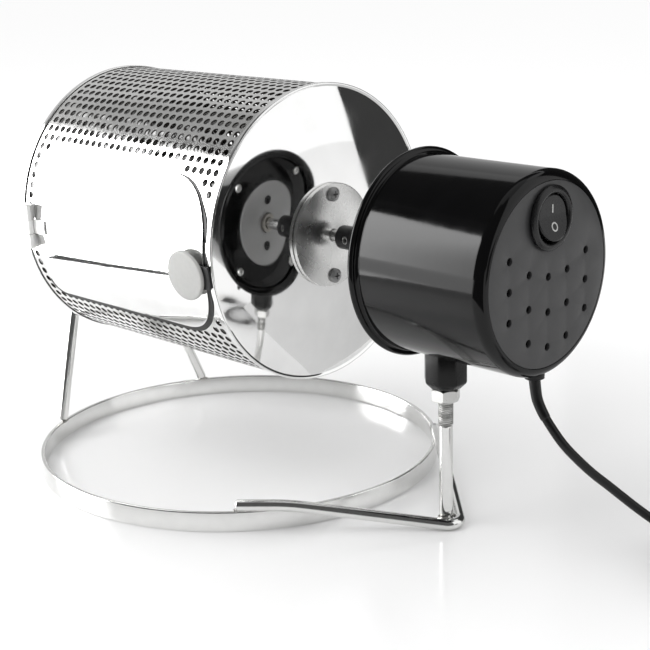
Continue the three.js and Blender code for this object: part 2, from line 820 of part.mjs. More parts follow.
// The idler sits beside the axis, towards +Y: its teeth meet the others' gaps there.
function idlerGear() {
  const bore = idler_pin_diameter / 2 + running_clearance;
  const wheel = gear(wheel_teeth, 0.5, wheel_x, gear_width, bore);
  const pinion = gear(pinion_teeth, 0, output_gear_x, wheel_x - output_gear_x + clearance, bore);
  return cut(join(wheel, pinion), plug(output_gear_x - overrun, wheel_x + 2 * gear_width, bore))
    .translate(0, gear_centres, 0);
}

const can_front = case_back + clearance;
const can_back = can_front + motor_can_length;
const magnet_front = can_front + motor_wall + rotor_end_space;
const magnet_back = can_back - motor_wall - bush_wall - rotor_end_space;

// The rotor's shaft has its pinion cut on its end.
function rotorShaft() {
  const shaft = plug(rotor_shaft_start, can_back - motor_wall - clearance, rotor_shaft_diameter / 2);
  return join(shaft, slabX(gearOutline(pinion_teeth, 0), wheel_x, wheel_x + gear_width));
}

function rotorMagnet() {
  return tube(magnet_front, magnet_back, rotor_shaft_diameter / 2 + clearance, rotor_diameter / 2, face_sides);
}

// Gearmotor's fixed parts
function gearmotorFace() {
  const bush = output_shaft_diameter / 2 + running_clearance + bush_wall + clearance;
  const inside = plate_back + clearance;
  const profile = [[plate_front, bush], [plate_front, motor_radius], [inside, motor_radius]];
  profile.push([inside, face_flange_diameter / 2], [inside + face_flange, face_flange_diameter / 2]);
  profile.push([inside + face_flange, bush]);
  const holes = [-1, 1].map((side) =>
    plug(plate_front - overrun, case_front, plate_screw_diameter / 2 + clearance, rod_sides)
      .translate(0, 0, side * gearmotor_screw_offset));
  return cut(turned(profile, face_sides), ...holes);
}

function outputBush() {
  const inner = output_shaft_diameter / 2 + running_clearance;
  return tube(plate_front - bush_proud, plate_back + clearance + face_flange, inner, inner + bush_wall);
}

function gearmotorScrew(side) {
  const head = plate_front - clearance;
  const tip = plate_back + face_flange;
  const top = head - gearmotor_screw_head_height;
  const profile = [[top, 0], [top, plate_screw_head / 2], [head, plate_screw_head / 2]];
  profile.push([head, plate_screw_diameter / 2], [tip, plate_screw_diameter / 2], [tip, 0]);
  return turned(profile, rod_sides).translate(0, 0, side * gearmotor_screw_offset);
}

function cup(x0, x1, back_bore) {
  const inner = motor_radius - motor_wall;
  return turned([[x0, inner], [x0, motor_radius], [x1, motor_radius], [x1, back_bore],
    [x1 - motor_wall, back_bore], [x1 - motor_wall, inner]], face_sides);
}

// The case carries the idler's pin on its back wall.
function gearCase() {
  const pin = plug(case_front + clearance, case_back - motor_wall / 2, idler_pin_diameter / 2, rod_sides);
  const body = cup(case_front, case_back, rotor_shaft_diameter / 2 + clearance);
  return join(body, pin.translate(0, gear_centres, 0));
}

// The can's back wall has a bush for the rotor.
function motorCan() {
  const inner = rotor_shaft_diameter / 2 + running_clearance;
  const bush = tube(can_back - motor_wall - bush_wall, can_back, inner, inner + bush_wall);
  return join(cup(can_front, can_back, inner + bush_wall / 2), bush);
}

function statorCoil() {
  const outer = motor_radius - motor_wall - clearance;
  return tube(can_front + clearance, can_back - motor_wall - clearance, coil_inner_diameter / 2, outer, face_sides);
}

// Pod
function podHousing() {
  const rear_inner = pod_radius - pod_rear_round + clearance;
  const ledge_inner = rear_inner - rear_ledge_depth;
  const step = pod_rear - rear_cover_thickness - clearance;
  const flare_end = pod_ahead + lip_length;
  const profile = [[pod_ahead, lip_radius - lip_wall], [pod_ahead, lip_radius - lip_edge]];
  profile.push([pod_ahead + lip_edge, lip_radius], [pod_ahead + lip_length / 3, lip_radius - lip_edge]);
  profile.push([pod_ahead + (2 * lip_length) / 3, (lip_radius + pod_radius) / 2]);
  profile.push([flare_end, pod_radius]);
  for (let i = 0; i <= corner_steps; i += 1) {
    const a = ((i / corner_steps) * Math.PI) / 2;
    const back = pod_rear - pod_rear_round * (1 - Math.sin(a));
    profile.push([back, pod_radius - pod_rear_round * (1 - Math.cos(a))]);
  }
  profile.push([pod_rear, rear_inner], [step, rear_inner], [step, ledge_inner]);
  profile.push([step - rear_ledge, ledge_inner], [step - rear_ledge, cavity_radius]);
  const ledge = plate_back + clearance;
  profile.push([ledge + ledge_length, cavity_radius], [ledge + ledge_length, cavity_radius - ledge_depth]);
  profile.push([ledge, cavity_radius - ledge_depth], [ledge, cavity_radius], [pod_ahead + lip_slope, cavity_radius]);
  const body = turned(profile, pod_sides);
  const relief = turnedUp([[-pod_radius - overrun, 0], [-pod_radius - overrun, relief_base_diameter / 2 + clearance],
    [-cavity_radius + 2 * overrun, relief_base_diameter / 2 + clearance], [-cavity_radius + 2 * overrun, 0]]);
  const holes = plateScrewPlaces().map(([y, z]) =>
    plug(plate_front, ledge + ledge_length + overrun, plate_screw_diameter / 2 + clearance, rod_sides)
      .translate(0, y, z));
  return cut(body, relief.translate(cord_exit_ahead, 0, 0), ...holes);
}

function plateScrewPlaces() {
  return [45, 135, 225, 315].map((deg) => {
    const a = THREE.MathUtils.degToRad(deg);
    return [(plate_screw_circle / 2) * Math.cos(a), (plate_screw_circle / 2) * Math.sin(a)];
  });
}

function frontPlate() {
  const disc = tube(plate_front, plate_back, motor_radius + clearance, cavity_radius - clearance, pod_sides);
  const holes = plateScrewPlaces().map(([y, z]) =>
    plug(plate_front - overrun, plate_back + overrun, plate_screw_diameter / 2 + clearance, rod_sides)
      .translate(0, y, z));
  return cut(disc, ...holes);
}

function frontPlateScrew([y, z]) {
  const head = plate_front - clearance;
  const tip = plate_back + ledge_length;
  const top = head - plate_screw_head_height;
  const profile = [[top, 0], [top, plate_screw_head / 3], [head - plate_screw_head_edge, plate_screw_head / 2]];
  profile.push([head, plate_screw_head / 2], [head, plate_screw_diameter / 2], [tip, plate_screw_diameter / 2]);
  profile.push([tip, 0]);
  return turned(profile, rod_sides).translate(0, y, z);
}

function ventPlaces() {
  return vent_columns.flatMap((column) => {
    const y = column * vent_column_pitch;
    const sag = vent_arc_radius - Math.sqrt(vent_arc_radius ** 2 - y ** 2);
    const pitch = vent_row_pitch - vent_row_closing * column ** 2;
    return vent_rows.map((row) => [y, vent_top + sag - vent_fall * y - row * pitch]);
  });
}

function rearCover() {
  const radius = pod_radius - pod_rear_round;
  const outline = new THREE.Shape().absarc(0, 0, radius, 0, 2 * Math.PI);
  for (const [y, z] of ventPlaces()) {
    outline.holes.push(new THREE.Path(roundSection(vent_diameter / 2, 8).getPoints()
      .map((p) => p.clone().add(new THREE.Vector2(y, z)))));
  }
  outline.holes.push(new THREE.Path(roundSection(barrel_diameter / 2 + clearance, face_sides).getPoints()
    .map((p) => p.clone().add(new THREE.Vector2(0, switch_rise)))));
  return slabX(outline, pod_rear - rear_cover_thickness, pod_rear);
}

// Rocker switch: a round bezel and barrel, and a rocker with a shallow valley across its middle.
const bezel_face = pod_rear + clearance + bezel_proud;
const rocker_x = pod_rear + clearance;

function switchBody() {
  const back = pod_rear - barrel_length;
  const inner = barrel_diameter / 2 - barrel_wall;
  const b = bezel_diameter / 2;
  const profile = [[back, 0], [back, barrel_diameter / 2], [pod_rear + clearance, barrel_diameter / 2]];
  profile.push([pod_rear + clearance, b], [bezel_face - bezel_proud / 2, b], [bezel_face, b - bezel_proud / 2]);
  profile.push([bezel_face, inner + bezel_slope], [bezel_face - bezel_recess, inner], [back + barrel_wall, inner]);
  profile.push([back + barrel_wall, 0]);
  return turned(profile, face_sides).translate(0, 0, switch_rise);
}

function switchRocker() {
  const r = rocker_diameter / 2;
  const foot = r * rocker_foot_share;
  const waist = -rocker_depth * rocker_waist_share;
  const edge = r + clearance;
  const valley = [[-rocker_depth, -foot], [-rocker_depth, foot], [waist, edge], [rocker_proud, edge]];
  valley.push([rocker_proud - r * Math.tan(rocker_tilt), 0], [rocker_proud, -edge], [waist, -edge]);
  const outline = new THREE.Shape(valley.map(([x, z]) => new THREE.Vector2(x, z)));
  const wedge = new THREE.ExtrudeGeometry(outline, { depth: 2 * rocker_diameter, bevelEnabled: false });
  wedge.rotateX(Math.PI / 2).translate(0, rocker_diameter, 0);
  const barrel = plug(-2 * rocker_depth, 2 * rocker_depth, r, face_sides);
  return common(barrel, closed(wedge)).rotateY(-rocker_tilt).translate(rocker_x, 0, switch_rise);
}

// Mains lead. Its route is chosen by hand: down out of the pod, over to the table, then into a coil.
const cord_radius = cord_diameter / 2;
const relief_bottom = axis_height - pod_radius - relief_collar - relief_taper;
const cord_start = relief_bottom - clearance;

function strainRelief() {
  const collar_top = axis_height - pod_radius - 1.5 * clearance;
  const r = cord_radius + clearance / 2;
  const base = relief_base_diameter / 2;
  const profile = [[relief_bottom, 0], [relief_bottom, r], [collar_top - relief_collar, base]];
  profile.push([collar_top - relief_collar, relief_collar_diameter / 2], [collar_top, relief_collar_diameter / 2]);
  profile.push([collar_top, base], [collar_top + relief_inside, base], [collar_top + relief_inside, 0]);
  return turnedUp(profile, small_sides).translate(cord_exit_ahead, 0, 0);
}

const coil_centre = new THREE.Vector3(234.3, 42.5, 0);
const coil_start_angle = THREE.MathUtils.degToRad(130);
const coil_half_width = (coil_turns_per_layer * coil_pitch) / 2;
const coil_turns = coil_turns_per_layer * coil_layers;

// A point of the coil at a number of turns: layers spiral in and out in turn, clockwise from above.
function coilPoint(turns) {
  const layer = Math.min(Math.floor(turns / coil_turns_per_layer), coil_layers - 1);
  const share = turns / coil_turns_per_layer - layer;
  const inwards = layer % 2 === 0 ? share : 1 - share;
  const radius = coil_middle_radius + coil_half_width - 2 * coil_half_width * inwards;
  const angle = coil_start_angle - turns * 2 * Math.PI;
  let climb = 0;
  for (let i = 1; i < coil_layers; i += 1) {
    const along = THREE.MathUtils.clamp(2 * (turns - i * coil_turns_per_layer) + 0.5, 0, 1);
    climb += along * along * (3 - 2 * along);
  }
  const height = coil_lift + cord_radius + climb * coil_pitch;
  return new THREE.Vector3(radius * Math.cos(angle), radius * Math.sin(angle), height).add(coil_centre);
}

function coilPoints() {
  const points = [];
  for (let i = 0; i <= coil_turns * loop_steps; i += 1) points.push(coilPoint(i / loop_steps));
  const heading = (from, to) => to.clone().sub(from).setZ(0).normalize();
  const first = points[0].clone().addScaledVector(heading(points[0], points[1]), -cord_diameter);
  const count = points.length;
  const last = points[count - 1].clone()
    .addScaledVector(heading(points[count - 2], points[count - 1]), cord_diameter);
  return [first, ...points, last];
}

// The least space between two turns, measured between points more than a quarter turn apart.
function leastGap(points) {
  let least = Infinity;
  const apart = loop_steps / 4;
  for (let i = 0; i < points.length; i += 1) {
    for (let j = i + apart; j < points.length; j += 1) {
      least = Math.min(least, points[i].distanceTo(points[j]) - cord_diameter);
    }
  }
  return least;
}

// Points by hand from the strain relief to the coil, in millimetres from the drum's motor end.
const lead_in_mm = [
  [141.25, 0, 79.8], [143.3, 0.2, 74.6], [147.2, 0.9, 70], [151.6, 2.6, 65], [156, 5.2, 59],
  [160.4, 9.4, 52], [164.8, 15.6, 44.4], [168.9, 22.2, 37.4], [173.2, 28.6, 30.4], [178.2, 35, 23.4],
  [184, 41.2, 16.8], [190, 47, 11.2], [196, 52.4, 6.9], [201.6, 57.3, 4.3],
];

// Points by hand from the coil's top layer down to the plug.
const lead_out_mm = [[227.6, 79.6, 17.3], [235.4, 83, 15.2], [244, 83.2, 12.6], [251.8, 80.4, 10]];
const plug_place = new THREE.Vector3(265, 69.8, plug_thickness / 2 + clearance);
const plug_heading = THREE.MathUtils.degToRad(-42);

function toPoints(rows) {
  return rows.map(([x, y, z]) => new THREE.Vector3(x, y, z));
}

// A tube whose ends run square to what they meet.
function straightEnds(points) {
  const count = points.length;
  const start = points[0].clone().lerp(points[1], 0.5);
  const end = points[count - 1].clone().lerp(points[count - 2], 0.5);
  return [points[0], start, ...points.slice(1, -1), end, points[count - 1]];
}

function supplyCord(coil) {
  const face = coil[0].clone();
  const heading = coil[1].clone().sub(coil[0]).normalize();
  const top = new THREE.Vector3(cord_exit_ahead, 0, cord_start);
  const end = face.clone().addScaledVector(heading, -clearance);
  const before = end.clone().addScaledVector(heading, -cord_diameter);
  return tubeAlong(straightEnds([top, ...toPoints(lead_in_mm), before, end]), cord_radius, cord_sides);
}

function plugHeading() {
  return new THREE.Vector3(Math.cos(plug_heading), Math.sin(plug_heading), 0);
}

function supplyCordTail(coil) {
  const count = coil.length;
  const heading = coil[count - 1].clone().sub(coil[count - 2]).normalize();
  const start = coil[count - 1].clone().addScaledVector(heading, clearance);
  const after = start.clone().addScaledVector(heading, cord_diameter);
  const end = plug_place.clone().addScaledVector(plugHeading(), -clearance);
  const before = end.clone().addScaledVector(plugHeading(), -cord_diameter);
  return tubeAlong(straightEnds([start, after, ...toPoints(lead_out_mm), before, end]), cord_radius, cord_sides);
}

function coilTie() {
  const half = coil_half_width + cord_radius + clearance;
  const low = coil_lift - clearance - tie_thickness;
  const high = coil_lift + cord_diameter + (coil_layers - 1) * coil_pitch + clearance + tie_thickness;
  const outer = box(-tie_width / 2, tie_width / 2, coil_middle_radius - half - tie_thickness,
    coil_middle_radius + half + tie_thickness, low, high);
  const inner = box(-tie_width, tie_width, coil_middle_radius - half, coil_middle_radius + half,
    low + tie_thickness, high - tie_thickness);
  return cut(outer, inner).rotateZ(Math.PI).translate(coil_centre.x, coil_centre.y, 0);
}

// The plug, drawn along +X from its neck.
function plugBody() {
  const neck = turned([[0, 0], [0, cord_radius + clearance], [plug_neck, plug_neck_diameter / 2], [plug_neck, 0]],
    small_sides);
  const half = plug_width / 2;
  const waist = half - plug_neck_diameter / 2;
  const outline = new THREE.Shape();
  outline.moveTo(plug_neck - clearance, -plug_neck_diameter / 2);
  outline.quadraticCurveTo(plug_neck + waist, -plug_neck_diameter / 2, plug_neck + waist, -half);
  outline.lineTo(plug_neck + plug_length, -half);
  outline.lineTo(plug_neck + plug_length, half);
  outline.lineTo(plug_neck + waist, half);
  outline.quadraticCurveTo(plug_neck + waist, plug_neck_diameter / 2, plug_neck - clearance, plug_neck_diameter / 2);
  outline.closePath();
  const flat = new THREE.ExtrudeGeometry(outline, { depth: plug_thickness, bevelEnabled: false, curveSegments: 6 })
    .translate(0, 0, -plug_thickness / 2);
  return join(neck, flat);
}

function plugPin(side) {
  const start = plug_neck + plug_length + clearance;
  const profile = [[start, 0], [start, pin_diameter / 2], [start + pin_length - pin_chamfer, pin_diameter / 2]];
  profile.push([start + pin_length, pin_diameter / 4], [start + pin_length, 0]);
  return turned(profile, rod_sides).translate(0, (side * pin_spacing) / 2, 0);
}

function placedPlug(geometry) {
  return geometry.rotateZ(plug_heading).translate(plug_place.x, plug_place.y, plug_place.z);
}

// The whole machine
const roaster = new THREE.Group();
roaster.position.set(-centre_x, 0, 0);

const stand = new THREE.Group();
stand.add(
  piece("base_ring", baseRing(), "polished_steel"),
  piece("hairpin_support", hairpin(), "polished_steel"),
  piece("motor_post", post(), "polished_steel"),
  piece("post_lock_nut", lockNut(), "zinc"),
  piece("post_socket", socket(), "gloss_black"),
  piece("far_support", farSupport(), "polished_steel"),
  piece("far_bearing_tube", bearingTube(), "bright_steel"),
  piece("far_bearing_bush", bearingBush(), "bronze"),
);

const drum = new THREE.Group();
drum.position.set(0, 0, axis_height);
drum.add(
  piece("drum_mantle", mantle(), "polished_steel"),
  piece("drum_cap_motor_end", drumCap(flange_screw_places), "polished_steel"),
  piece("drum_cap_far_end", farEnd(drumCap([])), "polished_steel"),
  piece("drive_flange", driveFlange(), "bright_steel"),
  piece("drive_flange_screw_1", flangeScrew(flange_screw_places[0]), "zinc"),
  piece("drive_flange_screw_2", flangeScrew(flange_screw_places[1]), "zinc"),
  piece("drive_flange_backing", flangeBacking(), "bright_steel"),
  piece("drive_shaft", driveShaft(), "bright_steel"),
  piece("far_axle", farEnd(farAxle()), "bright_steel"),
  piece("far_axle_nut", farEnd(farAxleNut()), "zinc"),
  piece("coupling_sleeve", couplingSleeve(), "dark_steel"),
  piece("coupling_set_screw_1", setScrew(set_screws[0]), "zinc"),
  piece("coupling_set_screw_2", setScrew(set_screws[1]), "zinc"),
  piece("output_shaft", outputShaft(), "bright_steel"),
  piece("output_gear", gear(wheel_teeth, 0.5, output_gear_x, gear_width, output_shaft_diameter / 2 + clearance),
    "nylon"),
);
vane_angles_deg.forEach((angle, i) => drum.add(piece(`mixing_vane_${i + 1}`, mixingVane(angle), "bright_steel")));

const doorway = new THREE.Group();
doorway.rotation.x = door_turn;
doorway.add(
  piece("drum_hinge_leaf", drumLeaf(), "bright_steel"),
  piece("door_hinge_pin", hingePin(), "zinc"),
  piece("drum_door", door(), "polished_steel"),
  piece("door_hinge_leaf", doorLeaf(), "bright_steel"),
  piece("latch_knob", latchKnob(), "bright_steel"),
  piece("latch_tongue", latchTongue(), "dark_steel"),
);
drum.add(doorway);

const pod = new THREE.Group();
pod.position.set(0, 0, axis_height);
pod.add(
  piece("pod_housing", podHousing(), "gloss_black"),
  piece("pod_front_plate", frontPlate(), "gloss_black"),
  piece("pod_rear_cover", rearCover(), "satin_black"),
  piece("gearmotor_face", gearmotorFace(), "grey_zinc"),
  piece("gearmotor_screw_1", gearmotorScrew(1), "dark_steel"),
  piece("gearmotor_screw_2", gearmotorScrew(-1), "dark_steel"),
  piece("output_bush", outputBush(), "bronze"),
  piece("gear_case", gearCase(), "grey_zinc"),
  piece("idler_gear", idlerGear(), "nylon"),
  piece("motor_can", motorCan(), "grey_zinc"),
  piece("stator_coil", statorCoil(), "copper"),
  piece("rotor_shaft", rotorShaft(), "bright_steel"),
  piece("rotor_magnet", rotorMagnet(), "dark_steel"),
  piece("switch_body", switchBody(), "gloss_black"),
  piece("switch_rocker", switchRocker(), "satin_black"),
);
plateScrewPlaces().forEach((place, i) => {
  pod.add(piece(`front_plate_screw_${i + 1}`, frontPlateScrew(place), "zinc"));
});

const coil = coilPoints();
console.log(`least gap between the coil's turns: ${leastGap(coil).toFixed(2)} mm`);

const lead = new THREE.Group();
lead.add(
  piece("cord_strain_relief", strainRelief(), "black_pvc"),
  piece("supply_cord", supplyCord(coil), "black_pvc"),
  piece("supply_cord_coil", tubeAlong(coil, cord_radius, coil_sides), "black_pvc"),
  piece("supply_cord_tail", supplyCordTail(coil), "black_pvc"),
  piece("coil_tie", coilTie(), "black_pvc"),
  piece("plug_body", placedPlug(plugBody()), "black_pvc"),
  piece("plug_pin_1", placedPlug(plugPin(1)), "bronze"),
  piece("plug_pin_2", placedPlug(plugPin(-1)), "bronze"),
);

roaster.add(stand, drum, pod, lead);

export default roaster;
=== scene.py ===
from math import acos, atan2, copysign, cos, hypot, pi, radians, sin, sqrt, tan

import bmesh
import bpy
from mathutils import Matrix, Vector


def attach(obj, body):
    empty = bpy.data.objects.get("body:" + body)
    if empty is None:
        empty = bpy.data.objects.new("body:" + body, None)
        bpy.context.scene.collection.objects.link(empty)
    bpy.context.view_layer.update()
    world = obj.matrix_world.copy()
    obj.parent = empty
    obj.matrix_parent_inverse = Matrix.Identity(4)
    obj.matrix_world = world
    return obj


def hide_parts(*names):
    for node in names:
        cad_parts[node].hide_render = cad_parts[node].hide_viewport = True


# Drum coffee roaster. Places are in millimetres, with X from the drum's motor end and Z from the
# table; they become metres in the model's frame when a mesh is made.
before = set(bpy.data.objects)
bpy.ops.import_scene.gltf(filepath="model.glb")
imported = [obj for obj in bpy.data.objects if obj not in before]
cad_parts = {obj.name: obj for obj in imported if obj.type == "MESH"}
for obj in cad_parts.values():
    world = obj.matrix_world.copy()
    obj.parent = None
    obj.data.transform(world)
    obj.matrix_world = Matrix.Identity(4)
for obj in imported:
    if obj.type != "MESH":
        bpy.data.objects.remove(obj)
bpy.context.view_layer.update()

MM = 0.001
TURN = 2 * pi
MIDDLE = 24.5237
AXIS = 142.0
DRUM_R, DRUM_LENGTH, SHEET = 78.0, 160.0, 0.8
CAP_FRONT, CAP_EDGE_R = 6.6, 76.9
FLANGE_R, FLANGE_BACK, FLANGE_FRONT = 27.5, 6.9, 9.3
SHAFT_R = 3.0
ROD_R = 3.0
RING_R, RING_BAR, RING_HEIGHT, RING_X = 114.0, 2.2, 11.0, -72.0
HAIRPIN_Y, HAIRPIN_PIN_R = 77, 6.85
HAIRPIN_X = RING_X + sqrt(RING_R ** 2 - HAIRPIN_Y ** 2)
ON_RING = RING_HEIGHT + 0.3
FAR_FOOT = radians(29)
BEARING_X, BEARING_HALF, BEARING_R, BUSH_R = -194, 7, 5.7, 4.65
POST_X, POST_R = 86.0, 3.55
NUT_LOW, BOSS_LOW = 67.9, 74.5
POD_R, POD_REAR, BEAD_RING_R, BEAD_R = 49.0, 148.0, 50.65, 1.65
PLATE_FRONT, PLATE_R = 73, 46.2
CORD_R = 2.25
RELIEF_X = 141.0


def metres(point):
    return Vector(((point[0] + MIDDLE) * MM, point[1] * MM, point[2] * MM))


def put(name, data):
    thing = bpy.data.objects.new(name, data)
    bpy.context.scene.collection.objects.link(thing)
    return thing


# Camera
def set_camera():
    yaw, pitch, roll = 2.3612, -0.2765, -0.0256
    ahead = Vector((cos(pitch) * cos(yaw), cos(pitch) * sin(yaw), sin(pitch)))
    right = ahead.cross(Vector((0, 0, 1))).normalized()
    up = right.cross(ahead)
    across = cos(roll) * right + sin(roll) * up
    upright = cos(roll) * up - sin(roll) * right
    view = bpy.data.cameras.new("camera")
    view.sensor_width = 36.0
    view.lens = 80.75
    view.clip_start = 0.02
    camera = put("camera", view)
    turn = Matrix((across, upright, -ahead)).transposed().to_4x4()
    camera.matrix_world = Matrix.Translation(metres((537.36, -530.9, 305.55))) @ turn
    bpy.context.scene.camera = camera


set_camera()


# Shapes: a shape is a list of points in millimetres and a list of faces
def circle(radius, count):
    return [(radius * cos(TURN * i / count), radius * sin(TURN * i / count)) for i in range(count)]


def arc(middle_x, middle_y, radius, start, end, steps):
    angles = [radians(start + (end - start) * i / steps) for i in range(steps + 1)]
    return [(middle_x + radius * cos(a), middle_y + radius * sin(a)) for a in angles]


def between(first, second, count):
    """The faces between two rings of points that start at the given numbers."""
    return [(first + i, first + (i + 1) % count, second + (i + 1) % count, second + i) for i in range(count)]


def lids(count, last):
    """The end faces of a body whose first and last rings have so many points."""
    return [tuple(reversed(range(count))), tuple(range(last, last + count))]


def turned(profile, steps=96, loop=False):
    points, faces, rings = [], [], []
    for along, radius in profile:
        shut = radius < 1e-6
        rings.append((len(points), shut))
        points += [(along, 0.0, 0.0)] if shut else [(along, y, z) for y, z in circle(radius, steps)]
    for (first, first_shut), (second, second_shut) in zip(rings, rings[1:] + (rings[:1] if loop else [])):
        if first_shut and not second_shut:
            faces += [(first, second + (i + 1) % steps, second + i) for i in range(steps)]
        elif second_shut and not first_shut:
            faces += [(first + i, first + (i + 1) % steps, second) for i in range(steps)]
        elif not first_shut:
            faces += between(first, second, steps)
    return points, faces


def eased(line, radius, steps=3, loop=False):
    rounded, count = [], len(line)
    for i, corner in enumerate(line):
        if not loop and i in (0, count - 1):
            rounded.append(tuple(corner))
            continue
        before, here, after = Vector(line[i - 1]), Vector(corner), Vector(line[(i + 1) % count])
        inwards, onwards = here - before, after - here
        if min(inwards.length, onwards.length) < 1e-6 or inwards.angle(onwards) < 0.1:
            rounded.append(tuple(corner))
            continue
        reach = min(radius, 0.45 * inwards.length, 0.45 * onwards.length)
        start, end = here - inwards.normalized() * reach, here + onwards.normalized() * reach
        for k in range(steps + 1):
            t = k / steps
            rounded.append(tuple(start * (1 - t) ** 2 + here * 2 * t * (1 - t) + end * t * t))
    return rounded


def bar(start, end, outer, ease, inner=0.0, steps=3):
    """The profile of a turned bar, or of a tube where it has an inner radius."""
    return eased([(start, inner), (start, outer), (end, outer), (end, inner)], ease, steps, loop=inner > 0)


def smooth_line(points, steps=6):
    line = [Vector(p) for p in points]
    line = [2 * line[0] - line[1]] + line + [2 * line[-1] - line[-2]]
    result = []
    for a, b, c, d in zip(line, line[1:], line[2:], line[3:]):
        for k in range(steps):
            t = k / steps
            result.append(0.5 * (2 * b + (c - a) * t + (2 * a - 5 * b + 4 * c - d) * t * t
                                 + (3 * b - a - 3 * c + d) * t ** 3))
    return result + [line[-2]]


def swept(path, radius, sides=20):
    """A round bar along a line, with both its ends rounded over."""
    path = [Vector(p) for p in path]
    radii = radius if isinstance(radius, list) else [radius] * len(path)
    end_bulge, end_steps = 0.55, 3
    for _ in range(2):
        path, radii = path[::-1], radii[::-1]
        out = (path[-1] - path[-2]).normalized()
        end, r = path[-1], radii[-1]
        for k in range(1, end_steps + 1):
            a = k * pi / (2 * end_steps + 0.3)
            path.append(end + out * r * end_bulge * sin(a))
            radii.append(r * cos(a))
    points, faces = [], []
    heading = (path[1] - path[0]).normalized()
    side = heading.orthogonal().normalized()
    for i, here in enumerate(path):
        after = path[min(i + 1, len(path) - 1)] - path[max(i - 1, 0)]
        side = heading.rotation_difference(after.normalized()) @ side
        heading = after.normalized()
        other = heading.cross(side)
        points += [here + radii[i] * (c * side + s * other) for c, s in circle(1.0, sides)]
        if i:
            faces += between((i - 1) * sides, i * sides, sides)
    return points, faces + lids(sides, len(points) - sides)


def prism(base, top):
    count = len(base)
    return base + top, lids(count, count) + between(0, count, count)


def moved(shape, matrix):
    return [matrix @ Vector(p) for p in shape[0]], shape[1]


def joined(*shapes):
    points, faces = [], []
    for more, sides in shapes:
        faces += [tuple(i + len(points) for i in side) for side in sides]
        points += list(more)
    return points, faces


def along_axis(shape):
    return moved(shape, Matrix.Translation((0, 0, AXIS)))


def standing(shape, x, z=0.0):
    return [(p[1] + x, p[2], p[0] + z) for p in shape[0]], shape[1]


def out_of_drum(shape, x, degrees=0):
    turn = Matrix.Rotation(radians(90 + degrees), 4, "X")
    return moved(shape, Matrix.Translation((x, 0, AXIS)) @ turn)


AT_FAR_END = Matrix.Translation((-DRUM_LENGTH, 0, 0)) @ Matrix.Rotation(pi, 4, "Z")


# Meshes
def plain_object(name, shape, finish=None):
    mesh = bpy.data.meshes.new(name)
    mesh.from_pydata([metres(p) for p in shape[0]], [], shape[1])
    shell = bmesh.new()
    shell.from_mesh(mesh)
    bmesh.ops.remove_doubles(shell, verts=shell.verts, dist=1e-7)
    bmesh.ops.recalc_face_normals(shell, faces=shell.faces)
    shell.to_mesh(mesh)
    shell.free()
    if finish:
        mesh.materials.append(finish)
    return put(name, mesh)


def settle(thing):
    whole = bpy.context.evaluated_depsgraph_get()
    mesh = bpy.data.meshes.new_from_object(thing.evaluated_get(whole), depsgraph=whole)
    thing.modifiers.clear()
    old = thing.data
    thing.data = mesh
    mesh.name = thing.name
    bpy.data.meshes.remove(old)


def bevelled(thing, width, segments=2, angle=35):
    edge = thing.modifiers.new("bevel", "BEVEL")
    edge.width = width * MM
    edge.segments = segments
    edge.limit_method = "ANGLE"
    edge.angle_limit = radians(angle)
    settle(thing)


def thickened(thing, offset, inner_finish=0):
    wall = thing.modifiers.new("wall", "SOLIDIFY")
    wall.thickness = SHEET * MM
    wall.offset = offset
    wall.material_offset = wall.material_offset_rim = inner_finish
    settle(thing)


def cut_away(thing, *shapes, solver="EXACT"):
    for shape in shapes:
        tool = plain_object("tool", shape)
        hole = thing.modifiers.new("hole", "BOOLEAN")
        hole.object = tool
        hole.operation = "DIFFERENCE"
        hole.solver = solver
        settle(thing)
        bpy.data.objects.remove(tool)


def fit(thing, body, *nodes, slot="", sharp=35):
    thing.data.shade_smooth()
    thing.data.set_sharp_from_angle(angle=radians(sharp))
    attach(thing, body)
    if nodes:
        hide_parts(*nodes)
    return thing


def piece(name, shape, finish, body, *nodes, slot="", sharp=35):
    return fit(plain_object(name, shape, finish), body, *nodes, slot=slot, sharp=sharp)


def turned_piece(name, profile, sides, finish, body, node, slot, place=Matrix()):
    """A piece turned about the drum's axis. Its profile is closed where it keeps off the axis."""
    shape = moved(turned(profile, sides, loop=profile[0][1] > 0), place)
    return piece(name, along_axis(shape), finish, body, node, slot=slot)


def add(tree, kind, inputs=None, **settings):
    made = tree.nodes.new(kind)
    for label, value in settings.items():
        setattr(made, label, value)
    for key, value in (inputs or {}).items():
        if isinstance(value, bpy.types.NodeSocket):
            tree.links.new(value, made.inputs[key])
        else:
            made.inputs[key].default_value = value
    return made


def new_material(name):
    material = bpy.data.materials.new(name)
    material.use_nodes = True
    return material, material.node_tree, material.node_tree.nodes["Principled BSDF"]


